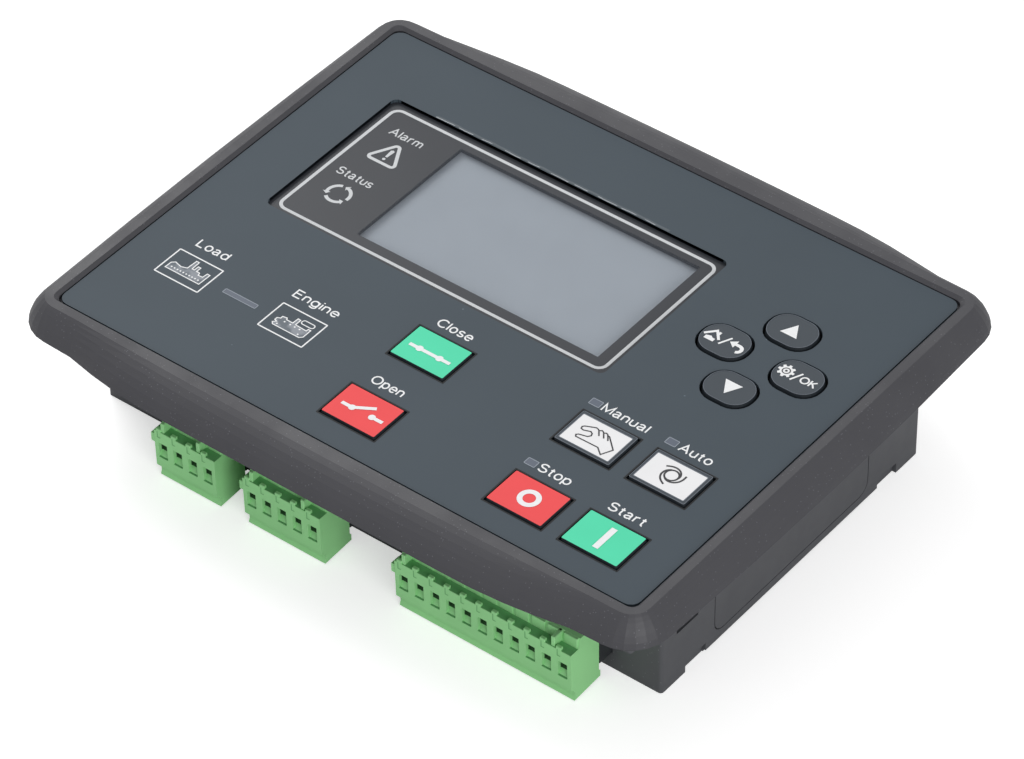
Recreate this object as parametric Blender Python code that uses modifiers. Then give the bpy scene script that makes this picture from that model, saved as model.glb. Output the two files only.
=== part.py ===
"""Panel-mounted genset controller, lying on its back with its face up.

Sizes are in millimetres here and become metres where each mesh is made.
X runs along the long side of the face, Y up the face and Z out of it.
The origin is on the back of the housing, under the middle of the face.
"""

from functools import partial
from math import cos, pi, radians, sin

import bmesh
import bpy
from mathutils import Matrix, Vector

MM = 0.001
GAP = 0.3

# Front moulding
FRONT_CORNER = 11.5
RIM_CORNER = 5.5
RECESS_CORNER = 2.4
SIDE_SWELL = 4.2
RIM_SWELL = 1.3
SWELL_FULL_TO = 48.0
SWELL_ENDS_AT = 84.5
END_CROWN = 1.8
BEZEL_WIDTH = 10.3
BEZEL_HEIGHT = 9.3
RIM_RISE = 1.0
BEZEL_DROP = 7.3
GROOVE = 0.4
INNER_BEVEL = 0.85
FLAT_RIM = 2.6
EDGE_ROUNDING = 0.6
END_SHAPE = 1.45
MIDDLE_SHAPE = 1.15
RIM_CREASE = 0.93
FLOOR_THICKNESS = 2.5

# Overlay and display window: the window is placed from the overlay's left and top edge
OVERLAY_THICKNESS = 1.0
OVERLAY_CORNER = 3.0
WINDOW_LEFT = 17.85
WINDOW_TOP = 23.35
WINDOW_TO_ARROWS = 10.35
WINDOW_TO_KEYS = 13.5
WINDOW_CORNER = 2.0
LENS_SUNK = 1.2
LENS_THICKNESS = 1.2
LCD_LEFT = 26.55
LCD_RIGHT = 5.95
LCD_TOP = 5.55
LCD_BELOW = 6.05
LCD_WIDTH = 79.6
LCD_HEIGHT = 43.4
LCD_MARGIN = 1.5
LCD_BORDER = 6.0
LCD_FRAME_WALL = 0.8
LCD_DEPTH = 9.0

# Keys, placed from the right and the bottom edge of the overlay
START_INSET = 20.3
MODE_PITCH = 23.5
BREAKER_PITCH = 53.1
ROW_INSET = 14.7
ROW_PITCH = 27.7
KEY_SIZE = (17.9, 13.1)
KEY_CORNER = 0.8
KEY_DRAFT = 0.3
KEY_RISE = 0.5
KEY_CLEARANCE = 0.6
KEY_TRAVEL = 0.8
ARROW_SIZE = (14.4, 11.6)
ARROW_CORNER = 5.2
ARROW_CENTRE = (28.2, 91.5)
ARROW_REACH = (11.5, 13.65)
FLANGE_LIP = 0.8
FLANGE_THICKNESS = 1.2
STEM_SIZE = (8.0, 6.0)
DOME_RADIUS = 3.6
DOME_HEIGHT = 1.5
DOME_TAPER = 0.7
MAT_THICKNESS = 1.5
MAT_MARGIN = 1.2

# Light guides
LIGHT_SIZE = (3.3, 2.2)
LIGHT_OFFSET = (-7.75, 11.05)
LOAD_LIGHT_SIZE = (11.25, 1.8)
LOAD_LIGHT_PLACE = (37.4, 28.95)
LIGHT_LIP = 0.8
LIGHT_FLANGE = 1.0

# Neck that passes through the panel, boards and fixings
NECK_INSET = (1.8, 1.4)
NECK_WALL = 2.0
BOARD_THICKNESS = 1.6
BOARD_MARGIN = 0.6
POST_RADIUS = 2.6
POST_INSET = (3.5, 3.2)
SCREW_RADIUS = 1.1
SCREW_HEAD_RADIUS = 2.2
SCREW_HEAD_HEIGHT = 1.6
SCREW_DEPTH = 5.5
GASKET_THICKNESS = 1.4
GASKET_INSET = 2.2
PANEL_CLEARANCE = 0.6

# Rear housing
FLANGE_OVERHANG = 13.0
HOUSING_WALL = 2.4
HOUSING_FLOOR = 2.0
HOUSING_CORNER = 1.0
TRAY_DEPTH = 24.45
FLANGE_PLATE = 2.0
STANDOFF = 1.15
BOSS_HEIGHT = 1.0
STANDOFF_INSET = 8.0
COVER_NEAR_INSET = 22.4
COVER_FAR_INSET = 23.2
COVER_LIFT = 3.75
COVER_HEIGHT = 17.4
COVER_CORNER = 3.5
COVER_THICKNESS = 1.2
COVER_LEDGE = 2.0
FOOT_NOTCH_LENGTH = 8.6
FOOT_NOTCH_HEIGHT = 3.5
FOOT_NOTCH_DEPTH = 1.2
FOOT_NOTCH_INSET = 14.25
FOOT_RELIEF = 0.9
CLAMP_SLOT_LENGTH = 9.0
CLAMP_SLOT_HEIGHT = 2.6
CLAMP_SLOT_INSET = 10.6
CLAMP_SLOT_LIFT = 16.4
LINK_SIZE = (50.8, 5.0)
LINK_PLACE = (30.0, 34.0)

# Terminal plugs and their headers
PITCH = 5.08
PLUG_END = 0.15
PLUG_POLES = (11, 5, 4)
PLUG_GAPS = (24.5, 9.4)
PLUG_INSET = 15.7
PLUG_STAND_OFF = 5.2
PLUG_LIFT = 0.35
PLUG_DEPTH = 11.6
PLUG_SHOULDER = 18.7
PLUG_RIDGE = 20.0
RIDGE_DEPTH = 7.6
SHOULDER_BACK = 9.0
LIP_HEIGHT = 4.4
WIRE_WIDTH = 2.9
WIRE_TOP = 12.9
WIRE_BOTTOM = 8.0
WIRE_RAMP = 3.4
WIRE_DEPTH = 6.0
FUNNEL_RADIUS = 1.9
FUNNEL_PLACE = 9.6
FUNNEL_DEPTH = 3.4
KEYWAY_DEPTH = 1.3
KEYWAY_HEIGHT = 4.6
KEYWAY_TOP = 16.9
KEYWAY_WIDTH = 3.0
HEADER_HEIGHT = 11.8
HEADER_WALL = 1.0
HEADER_DEPTH = 9.4
PIN_WIDTH = 1.0
PIN_REACH = 6.0
TONGUE_DEPTH = 7.0

# Mesh fineness
CORNER_STEPS = 4
FRONT_CORNER_STEPS = 6
FRONT_SIDE_STEPS = 10
FRONT_END_STEPS = 2
ROUND_STEPS = 16
SCREW_STEPS = 12
DOME_STEPS = 10
ARROW_STEPS = 6

# Levels, counted up from the back of the housing
BACK = 0.0
TRAY_TOP = BACK + TRAY_DEPTH
FLANGE_TOP = TRAY_TOP + FLANGE_PLATE
NECK_END = FLANGE_TOP + GAP
MAIN_BOARD_LOW = FLANGE_TOP + BOSS_HEIGHT + GAP
MAIN_BOARD_TOP = MAIN_BOARD_LOW + BOARD_THICKNESS
FLOOR_LOW = MAIN_BOARD_TOP + GAP + LCD_DEPTH + GAP
FLOOR_TOP = FLOOR_LOW + FLOOR_THICKNESS
OVERLAY_LOW = FLOOR_TOP + GAP
FACE = OVERLAY_LOW + OVERLAY_THICKNESS
RIM_TOP = FACE + RIM_RISE
BEZEL_LOW = FACE - BEZEL_DROP
LENS_TOP = FACE - LENS_SUNK
LENS_LOW = LENS_TOP - LENS_THICKNESS
MAT_LOW = MAIN_BOARD_TOP + GAP
MAT_TOP = MAT_LOW + MAT_THICKNESS
DOME_TOP = MAT_TOP + DOME_HEIGHT
KEY_FLANGE_TOP = FLOOR_LOW - GAP
KEY_FLANGE_LOW = KEY_FLANGE_TOP - FLANGE_THICKNESS
KEY_LOW = DOME_TOP + GAP + KEY_TRAVEL
TERMINAL_BOARD_LOW = BACK + HOUSING_FLOOR + STANDOFF + GAP
TERMINAL_BOARD_TOP = TERMINAL_BOARD_LOW + BOARD_THICKNESS
HEADER_LOW = TERMINAL_BOARD_TOP + GAP
HEADER_TOP = HEADER_LOW + HEADER_HEIGHT
PLUG_LOW = BACK + PLUG_LIFT

# Bezel section that follows from its widths, and the levels that its slope is lofted through
RIM_EDGE = GROOVE + INNER_BEVEL + FLAT_RIM
SLOPE = (BEZEL_WIDTH - RIM_EDGE, BEZEL_HEIGHT - RIM_EDGE)
SLOPE_LEVELS = (0.0, 0.22, 0.44, 0.64, 0.8, 0.92, 1.0)

# Plan sizes that follow from the display and the keys
WINDOW_WIDTH = LCD_LEFT + LCD_WIDTH + LCD_RIGHT
WINDOW_HEIGHT = LCD_TOP + LCD_HEIGHT + LCD_BELOW
ARROWS_SPAN = ARROW_SIZE[0] / 2 + ARROW_REACH[0] + ARROW_CENTRE[0]
ROWS_SPAN = KEY_SIZE[1] / 2 + ROW_PITCH + ROW_INSET
OVERLAY_WIDTH = WINDOW_LEFT + WINDOW_WIDTH + WINDOW_TO_ARROWS + ARROWS_SPAN
OVERLAY_HEIGHT = WINDOW_TOP + WINDOW_HEIGHT + WINDOW_TO_KEYS + ROWS_SPAN
HALF_OVERLAY = (OVERLAY_WIDTH / 2, OVERLAY_HEIGHT / 2)
HALF_NECK = (HALF_OVERLAY[0] - NECK_INSET[0], HALF_OVERLAY[1] - NECK_INSET[1])
HALF_CAVITY = (HALF_NECK[0] - NECK_WALL, HALF_NECK[1] - NECK_WALL)
HALF_HOUSING = (HALF_NECK[0], HALF_NECK[1] - FLANGE_OVERHANG)
HALF_TRAY = (HALF_HOUSING[0] - HOUSING_WALL, HALF_HOUSING[1] - HOUSING_WALL)
FOOT_NOTCH_PLACE = HALF_HOUSING[1] - FOOT_NOTCH_INSET
CLAMP_SLOT_PLACE = HALF_HOUSING[1] - CLAMP_SLOT_INSET
COVER_LENGTH = 2 * HALF_HOUSING[1] - COVER_NEAR_INSET - COVER_FAR_INSET
COVER_SHIFT = (COVER_NEAR_INSET - COVER_FAR_INSET) / 2
POST_PLACE = (HALF_CAVITY[0] - POST_INSET[0], HALF_CAVITY[1] - POST_INSET[1])
STANDOFF_PLACE = (HALF_TRAY[0] - STANDOFF_INSET, HALF_TRAY[1] - STANDOFF_INSET)
WINDOW_CENTRE = (
    -HALF_OVERLAY[0] + WINDOW_LEFT + WINDOW_WIDTH / 2,
    HALF_OVERLAY[1] - WINDOW_TOP - WINDOW_HEIGHT / 2,
)
LCD_CENTRE = (
    WINDOW_CENTRE[0] - WINDOW_WIDTH / 2 + LCD_LEFT + LCD_WIDTH / 2,
    WINDOW_CENTRE[1] + WINDOW_HEIGHT / 2 - LCD_TOP - LCD_HEIGHT / 2,
)
START_X = HALF_OVERLAY[0] - START_INSET
MODE_X = START_X - MODE_PITCH
BREAKER_X = MODE_X - BREAKER_PITCH
LOWER_Y = -HALF_OVERLAY[1] + ROW_INSET
UPPER_Y = LOWER_Y + ROW_PITCH
ARROW_X = HALF_OVERLAY[0] - ARROW_CENTRE[0]
ARROW_Y = -HALF_OVERLAY[1] + ARROW_CENTRE[1]

GREEN = (0.10, 0.76, 0.45)
RED = (0.91, 0.10, 0.11)
WHITE = (0.88, 0.88, 0.90)
SLATE = (0.10, 0.12, 0.14)

WIDE_KEYS = {
    "key_close": (BREAKER_X, UPPER_Y, GREEN),
    "key_open": (BREAKER_X, LOWER_Y, RED),
    "key_manual": (MODE_X, UPPER_Y, WHITE),
    "key_auto": (START_X, UPPER_Y, WHITE),
    "key_stop": (MODE_X, LOWER_Y, RED),
    "key_start": (START_X, LOWER_Y, GREEN),
}
ARROW_KEYS = {
    "key_home": (ARROW_X - ARROW_REACH[0], ARROW_Y, SLATE),
    "key_up": (ARROW_X, ARROW_Y + ARROW_REACH[1], SLATE),
    "key_down": (ARROW_X, ARROW_Y - ARROW_REACH[1], SLATE),
    "key_confirm": (ARROW_X + ARROW_REACH[0], ARROW_Y, SLATE),
}
LIGHTS = {
    "light_manual": (MODE_X + LIGHT_OFFSET[0], UPPER_Y + LIGHT_OFFSET[1], LIGHT_SIZE),
    "light_auto": (START_X + LIGHT_OFFSET[0], UPPER_Y + LIGHT_OFFSET[1], LIGHT_SIZE),
    "light_stop": (MODE_X + LIGHT_OFFSET[0], LOWER_Y + LIGHT_OFFSET[1], LIGHT_SIZE),
    "light_load": (
        -HALF_OVERLAY[0] + LOAD_LIGHT_PLACE[0],
        -HALF_OVERLAY[1] + LOAD_LIGHT_PLACE[1],
        LOAD_LIGHT_SIZE,
    ),
}


def clear_scene():
    for item in list(bpy.data.objects):
        bpy.data.objects.remove(item, do_unlink=True)


def new_collection(name):
    made = bpy.data.collections.new(name)
    bpy.context.scene.collection.children.link(made)
    return made


clear_scene()
PARTS = new_collection("genset_controller")
TOOLS = new_collection("cutters_and_guides")


def surface(name, colour, roughness, metallic=0.0):
    """A material of its own for one sub-part."""
    made = bpy.data.materials.new(name)
    made.use_nodes = True
    shader = made.node_tree.nodes["Principled BSDF"]
    shader.inputs["Base Color"].default_value = (*colour, 1.0)
    shader.inputs["Roughness"].default_value = roughness
    shader.inputs["Metallic"].default_value = metallic
    return made


def object_from(bm, name, look=None, place=(0.0, 0.0, 0.0), sharp_angle=None):
    """Turns a millimetre bmesh into an object, whose origin is at place."""
    bmesh.ops.translate(bm, vec=-Vector(place), verts=bm.verts)
    bmesh.ops.scale(bm, vec=(MM, MM, MM), verts=bm.verts)
    bmesh.ops.recalc_face_normals(bm, faces=bm.faces)
    mesh = bpy.data.meshes.new(name)
    bm.to_mesh(mesh)
    bm.free()
    if sharp_angle is not None:
        mesh.shade_smooth()
        mesh.set_sharp_from_angle(angle=sharp_angle)
    made = bpy.data.objects.new(name, mesh)
    made.location = Vector(place) * MM
    if look is None:
        TOOLS.objects.link(made)
        made.hide_render = True
        made.display_type = "WIRE"
    else:
        PARTS.objects.link(made)
        mesh.materials.append(look)
    return made


def combine(target, tool, operation):
    change = target.modifiers.new(tool.name, "BOOLEAN")
    change.operation = operation
    change.object = tool
    change.solver = "EXACT"


def add_plate(bm, centre, size, low, high, radius=0.0, steps=CORNER_STEPS):
    """Adds a block between two levels, with its upright edges rounded."""
    made = bmesh.ops.create_cube(bm, size=1.0)["verts"]
    bmesh.ops.scale(bm, vec=(size[0], size[1], high - low), verts=made)
    bmesh.ops.translate(bm, vec=(*centre, (low + high) / 2), verts=made)
    if radius:
        edges = {edge for vert in made for edge in vert.link_edges}
        upright = [e for e in edges if abs(e.verts[0].co.z - e.verts[1].co.z) > GAP / 2]
        bmesh.ops.bevel(
            bm, geom=upright, offset=radius, segments=steps, profile=0.5, affect="EDGES"
        )


def add_block(bm, low, high):
    """Adds a plain box from its low corner to its high corner."""
    centre = ((low[0] + high[0]) / 2, (low[1] + high[1]) / 2)
    add_plate(bm, centre, (high[0] - low[0], high[1] - low[1]), low[2], high[2])


def add_rod(bm, centre, radius, low, high, top_radius=None, steps=ROUND_STEPS):
    """Adds an upright cylinder, or a cone where top_radius is given."""
    top = radius if top_radius is None else top_radius
    middle = Matrix.Translation((*centre, (low + high) / 2))
    bmesh.ops.create_cone(
        bm,
        cap_ends=True,
        segments=steps,
        radius1=radius,
        radius2=top,
        depth=high - low,
        matrix=middle,
    )


def four_corners(place):
    return [(sx * place[0], sy * place[1]) for sx in (-1, 1) for sy in (-1, 1)]


def no_swell(x):
    return 0.0


def rounded_loop(half, radius, level, swell=no_swell, crown=0.0, steps=(0, CORNER_STEPS, 0)):
    """Points of a rounded rectangle, anticlockwise from the right-hand side.

    swell(x) is how far the long sides stand out at x, and crown how far the ends draw in
    towards the corners. steps counts the points along half of an end, round a corner and
    along half of a side.
    """
    end_steps, corner_steps, side_steps = steps
    flat = (half[0] - radius, half[1] - radius)
    quarter = [(half[0], flat[1] * i / end_steps) for i in range(end_steps)]
    for i in range(corner_steps + 1):
        turn = pi / 2 * i / corner_steps
        quarter.append((flat[0] + radius * cos(turn), flat[1] + radius * sin(turn)))
    quarter += [
        (flat[0] * (1 - i / side_steps), half[1]) for i in range(1, side_steps + 1)
    ]
    quarter = [
        (x - crown * (y / half[1]) ** 2, y + swell(x)) for x, y in quarter
    ]
    back_round = quarter[::-1]
    ring = list(quarter)
    ring += [(-x, y) for x, y in back_round if x > GAP / 2]
    ring += [(-x, -y) for x, y in quarter if y > GAP / 2]
    ring += [(x, -y) for x, y in back_round if x > GAP / 2 and y > GAP / 2]
    return [Vector((x, y, level)) for x, y in ring]


def loft(bm, loops):
    """A closed skin through loops of equal length, flat across the first and the last."""
    rings = [[bm.verts.new(point) for point in loop] for loop in loops]
    count = len(rings[0])
    for lower, upper in zip(rings, rings[1:]):
        for i in range(count):
            j = (i + 1) % count
            bm.faces.new((lower[i], lower[j], upper[j], upper[i]))
    bm.faces.new(rings[0][::-1])
    bm.faces.new(rings[-1])


def extruded_outline(name, points, x_low, x_high, look=None):
    """A (y, z) outline drawn as a flat curve and stretched along X, made into a mesh."""
    curve = bpy.data.curves.new(name, "CURVE")
    curve.dimensions = "2D"
    curve.fill_mode = "BOTH"
    curve.extrude = (x_high - x_low) / 2
    spline = curve.splines.new("POLY")
    spline.points.add(len(points) - 1)
    for place, (y, z) in zip(spline.points, points):
        place.co = (y, z, 0.0, 1.0)
    spline.use_cyclic_u = True
    drawn = bpy.data.objects.new(name + "_outline", curve)
    TOOLS.objects.link(drawn)
    graph = bpy.context.evaluated_depsgraph_get()
    mesh = bpy.data.meshes.new_from_object(drawn.evaluated_get(graph))
    bm = bmesh.new()
    bm.from_mesh(mesh)
    bpy.data.meshes.remove(mesh)
    bpy.data.objects.remove(drawn)
    bmesh.ops.remove_doubles(bm, verts=bm.verts, dist=GAP / 100)
    upright = Matrix(((0, 0, 1, 0), (1, 0, 0, 0), (0, 1, 0, 0), (0, 0, 0, 1)))
    bmesh.ops.transform(bm, matrix=upright, verts=bm.verts)
    bmesh.ops.translate(bm, vec=((x_low + x_high) / 2, 0, 0), verts=bm.verts)
    return object_from(bm, name, look)


def repeat_along_x(tool, count, step):
    copies = tool.modifiers.new("repeat", "ARRAY")
    copies.count = count
    copies.use_relative_offset = False
    copies.use_constant_offset = True
    copies.constant_offset_displace = (step * MM, 0.0, 0.0)


def widened(size, by):
    return (size[0] + 2 * by, size[1] + 2 * by)


def half_of(size):
    return (size[0] / 2, size[1] / 2)


def front_loop(outward, level, corner, swell=no_swell, crown=0.0):
    """A loop of the front moulding, some way outward from the overlay's edge."""
    half = (HALF_OVERLAY[0] + outward[0], HALF_OVERLAY[1] + outward[1])
    steps = (FRONT_END_STEPS, FRONT_CORNER_STEPS, FRONT_SIDE_STEPS)
    return rounded_loop(half, corner, level, swell, crown, steps)


def slope_share(height, shape):
    """How far out the bezel's slope is at a share of its height: 1 at the foot, 0 at the rim.

    A shape of 1 is a quarter round, and a shape of 2 a straight slope. The round is broken
    off a little before its top, which leaves a crease along the flat rim.
    """
    def round_at(share):
        return (1.0 - share ** (2.0 / shape)) ** (shape / 2.0)

    broken = round_at(RIM_CREASE)
    return (round_at(height * RIM_CREASE) - broken) / (1.0 - broken)


def foot_swell(x):
    """How far the foot of a long side stands out at x: level in the middle, gone by the corners."""
    share = (SWELL_ENDS_AT - abs(x)) / (SWELL_ENDS_AT - SWELL_FULL_TO)
    share = min(1.0, max(0.0, share))
    return SIDE_SWELL * share * (2.0 - share)


def side_swell(x, height):
    """How far a long side stands out at x and at a share of the slope's height."""
    arch = max(0.0, 1.0 - (x / SWELL_ENDS_AT) ** 2)
    shape = END_SHAPE + (MIDDLE_SHAPE - END_SHAPE) * arch
    rim = RIM_SWELL * arch
    slope = SLOPE[1] + foot_swell(x) - rim
    return rim + slope * slope_share(height, shape) - SLOPE[1] * slope_share(height, END_SHAPE)


def bezel_loops():
    """The bezel's section, from the panel seat round the outside to the overlay's seat."""
    foot = (BEZEL_WIDTH - EDGE_ROUNDING, BEZEL_HEIGHT - EDGE_ROUNDING)
    loops = [front_loop(foot, BEZEL_LOW, FRONT_CORNER - EDGE_ROUNDING, foot_swell, END_CROWN)]
    low = BEZEL_LOW + EDGE_ROUNDING
    for height in SLOPE_LEVELS:
        out = slope_share(height, END_SHAPE)
        outward = (RIM_EDGE + SLOPE[0] * out, RIM_EDGE + SLOPE[1] * out)
        corner = RIM_CORNER + (FRONT_CORNER - RIM_CORNER) * out
        level = low + (RIM_TOP - low) * height
        swell = partial(side_swell, height=height)
        loops.append(front_loop(outward, level, corner, swell, END_CROWN * out))
    recess = GROOVE + INNER_BEVEL
    loops.append(front_loop((recess, recess), RIM_TOP, RECESS_CORNER))
    loops.append(front_loop((GROOVE, GROOVE), FACE, RECESS_CORNER))
    loops.append(front_loop((GROOVE, GROOVE), FLOOR_TOP, RECESS_CORNER))
    return loops


def neck_loop(half, level):
    steps = (FRONT_END_STEPS, FRONT_CORNER_STEPS, FRONT_SIDE_STEPS)
    return rounded_loop(half, OVERLAY_CORNER, level, steps=steps)


def key_holes(bm, clearance, low, high):
    for x, y, _ in WIDE_KEYS.values():
        size = widened(KEY_SIZE, clearance)
        add_plate(bm, (x, y), size, low, high, KEY_CORNER + clearance)
    for x, y, _ in ARROW_KEYS.values():
        size = widened(ARROW_SIZE, clearance)
        add_plate(bm, (x, y), size, low, high, ARROW_CORNER + clearance, ARROW_STEPS)


def make_front_frame():
    """Bezel, floor behind the overlay and the neck, moulded in one."""
    bm = bmesh.new()
    neck = [
        neck_loop(HALF_CAVITY, FLOOR_LOW),
        neck_loop(HALF_CAVITY, NECK_END),
        neck_loop(HALF_NECK, NECK_END),
        neck_loop(HALF_NECK, BEZEL_LOW),
    ]
    loft(bm, neck + bezel_loops())
    look = surface("moulded_frame", (0.075, 0.072, 0.072), 0.62)
    frame = object_from(bm, "front_frame", look, sharp_angle=radians(32))

    bm = bmesh.new()
    for corner in four_corners(POST_PLACE):
        add_rod(bm, corner, POST_RADIUS, MAIN_BOARD_TOP + GAP, FLOOR_LOW + FLOOR_THICKNESS / 2)
    combine(frame, object_from(bm, "frame_posts"), "UNION")

    bm = bmesh.new()
    key_holes(bm, KEY_CLEARANCE + GAP, FLOOR_LOW - GAP, FACE)
    for x, y, size in LIGHTS.values():
        add_plate(bm, (x, y), widened(size, GAP), FLOOR_LOW - GAP, FACE)
    lens = widened((WINDOW_WIDTH, WINDOW_HEIGHT), GAP)
    add_plate(bm, WINDOW_CENTRE, lens, LENS_LOW - GAP, FACE, WINDOW_CORNER + GAP)
    combine(frame, object_from(bm, "frame_openings"), "DIFFERENCE")

    bm = bmesh.new()
    view = widened((LCD_WIDTH, LCD_HEIGHT), LCD_MARGIN)
    add_plate(bm, LCD_CENTRE, view, FLOOR_LOW - GAP, LENS_LOW)
    for corner in four_corners(POST_PLACE):
        bore_top = MAIN_BOARD_TOP + GAP + SCREW_DEPTH + GAP
        add_rod(bm, corner, SCREW_RADIUS + GAP, MAIN_BOARD_TOP, bore_top)
    combine(frame, object_from(bm, "frame_view_and_bores"), "DIFFERENCE")


def make_overlay():
    bm = bmesh.new()
    add_plate(
        bm, (0, 0), (2 * HALF_OVERLAY[0], 2 * HALF_OVERLAY[1]), OVERLAY_LOW, FACE, OVERLAY_CORNER
    )
    look = surface("overlay_film", (0.095, 0.115, 0.13), 0.5)
    overlay = object_from(bm, "overlay", look)
    bm = bmesh.new()
    key_holes(bm, KEY_CLEARANCE, OVERLAY_LOW - GAP, FACE + GAP)
    window = (WINDOW_WIDTH, WINDOW_HEIGHT)
    add_plate(bm, WINDOW_CENTRE, window, OVERLAY_LOW - GAP, FACE + GAP, WINDOW_CORNER)
    combine(overlay, object_from(bm, "overlay_holes"), "DIFFERENCE")


def make_display():
    """Lens in the frame's recess, with the display's steel frame and glass behind it."""
    bm = bmesh.new()
    add_plate(
        bm, WINDOW_CENTRE, (WINDOW_WIDTH, WINDOW_HEIGHT), LENS_LOW, LENS_TOP, WINDOW_CORNER
    )
    object_from(bm, "display_lens", surface("printed_lens", (0.085, 0.085, 0.09), 0.2))

    outer = widened((LCD_WIDTH, LCD_HEIGHT), LCD_BORDER)
    inner = widened(outer, -LCD_FRAME_WALL)
    low = MAIN_BOARD_TOP + GAP
    high = low + LCD_DEPTH
    bm = bmesh.new()
    add_plate(bm, LCD_CENTRE, outer, low, high)
    frame = object_from(bm, "lcd_frame", surface("lcd_steel", (0.55, 0.55, 0.56), 0.35, 1.0))
    bm = bmesh.new()
    add_plate(bm, LCD_CENTRE, inner, low - GAP, high - LCD_FRAME_WALL)
    combine(frame, object_from(bm, "lcd_frame_hollow"), "DIFFERENCE")
    bm = bmesh.new()
    view = widened((LCD_WIDTH, LCD_HEIGHT), LCD_MARGIN)
    add_plate(bm, LCD_CENTRE, view, high - 2 * LCD_FRAME_WALL, high + GAP)
    combine(frame, object_from(bm, "lcd_frame_view"), "DIFFERENCE")

    bm = bmesh.new()
    glass = widened(inner, -GAP)
    add_plate(bm, LCD_CENTRE, glass, low, high - LCD_FRAME_WALL - GAP)
    object_from(bm, "lcd_panel", surface("lcd_glass", (0.36, 0.40, 0.43), 0.15))


def key_sections(size, corner):
    """Levels of one key: stem, flange that stops it under the floor, and drafted cap."""
    cap = half_of(size)
    spread = KEY_CLEARANCE + GAP + FLANGE_LIP
    flange = half_of(widened(size, spread))
    top = (cap[0] - KEY_DRAFT, cap[1] - KEY_DRAFT)
    edge = (top[0] - KEY_DRAFT / 2, top[1] - KEY_DRAFT / 2)
    key_top = FACE + KEY_RISE
    return (
        (half_of(STEM_SIZE), KEY_CORNER / 2, KEY_LOW),
        (half_of(STEM_SIZE), KEY_CORNER / 2, KEY_FLANGE_LOW),
        (flange, corner + spread, KEY_FLANGE_LOW),
        (flange, corner + spread, KEY_FLANGE_TOP),
        (cap, corner, KEY_FLANGE_TOP),
        (cap, corner, OVERLAY_LOW),
        (top, corner, key_top - KEY_DRAFT / 2),
        (edge, corner - KEY_DRAFT / 2, key_top),
    )


def make_key(name, x, y, colour, size, corner, corner_steps):
    bm = bmesh.new()
    steps = (0, corner_steps, 0)
    sections = key_sections(size, corner)
    loft(bm, [rounded_loop(half, radius, level, steps=steps) for half, radius, level in sections])
    bmesh.ops.translate(bm, vec=(x, y, 0), verts=bm.verts)
    look = surface(name + "_cap", colour, 0.4)
    object_from(bm, name, look, (x, y, KEY_FLANGE_TOP), radians(32))


def make_keys():
    for name, (x, y, colour) in WIDE_KEYS.items():
        make_key(name, x, y, colour, KEY_SIZE, KEY_CORNER, CORNER_STEPS - 1)
    for name, (x, y, colour) in ARROW_KEYS.items():
        make_key(name, x, y, colour, ARROW_SIZE, ARROW_CORNER, ARROW_STEPS)


def make_light_guides():
    for name, (x, y, size) in LIGHTS.items():
        bm = bmesh.new()
        add_plate(bm, (x, y), size, MAIN_BOARD_TOP + GAP, FLOOR_TOP)
        guide = object_from(bm, name, surface(name + "_guide", (0.22, 0.25, 0.28), 0.25))
        bm = bmesh.new()
        top = FLOOR_LOW - GAP
        add_plate(bm, (x, y), widened(size, LIGHT_LIP), top - LIGHT_FLANGE, top)
        combine(guide, object_from(bm, name + "_flange"), "UNION")


def make_keypad_mat():
    """Rubber sheet on the board, with a dome under each key and holes for the light guides."""
    right = START_X + KEY_SIZE[0] / 2 + MAT_MARGIN
    left = BREAKER_X - KEY_SIZE[0] / 2 - MAT_MARGIN
    low = LOWER_Y - KEY_SIZE[1] / 2 - MAT_MARGIN
    middle = UPPER_Y + LIGHT_OFFSET[1] + LIGHT_SIZE[1] + MAT_MARGIN
    arrows_left = ARROW_X - ARROW_REACH[0] - ARROW_SIZE[0] / 2
    arrows_top = ARROW_Y + ARROW_REACH[1] + ARROW_SIZE[1] / 2 + MAT_MARGIN
    bm = bmesh.new()
    add_block(bm, (left, low, MAT_LOW), (right, middle, MAT_TOP))
    look = surface("mat_rubber", (0.16, 0.16, 0.17), 0.8)
    mat = object_from(bm, "keypad_mat", look)
    bm = bmesh.new()
    add_block(bm, (arrows_left, middle - MAT_MARGIN, MAT_LOW), (right, arrows_top, MAT_TOP))
    combine(mat, object_from(bm, "mat_arrow_area"), "UNION")
    bm = bmesh.new()
    for x, y, _ in list(WIDE_KEYS.values()) + list(ARROW_KEYS.values()):
        sunk = MAT_TOP - MAT_THICKNESS / 2
        add_rod(bm, (x, y), DOME_RADIUS, sunk, DOME_TOP, DOME_RADIUS * DOME_TAPER, DOME_STEPS)
    combine(mat, object_from(bm, "mat_domes"), "UNION")
    bm = bmesh.new()
    for x, y, size in LIGHTS.values():
        if x > left:
            add_plate(bm, (x, y), widened(size, KEY_CLEARANCE), MAT_LOW - GAP, MAT_TOP + GAP)
    combine(mat, object_from(bm, "mat_light_holes"), "DIFFERENCE")


def make_board(name, half, low, holes):
    bm = bmesh.new()
    size = (2 * half[0], 2 * half[1])
    corner = OVERLAY_CORNER - BOARD_MARGIN
    add_plate(bm, (0, 0), size, low, low + BOARD_THICKNESS, corner)
    board = object_from(bm, name, surface(name + "_laminate", (0.03, 0.16, 0.09), 0.5))
    bm = bmesh.new()
    for corner in four_corners(holes):
        add_rod(bm, corner, SCREW_RADIUS + GAP, low - GAP, low + BOARD_THICKNESS + GAP)
    combine(board, object_from(bm, name + "_holes"), "DIFFERENCE")


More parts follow.
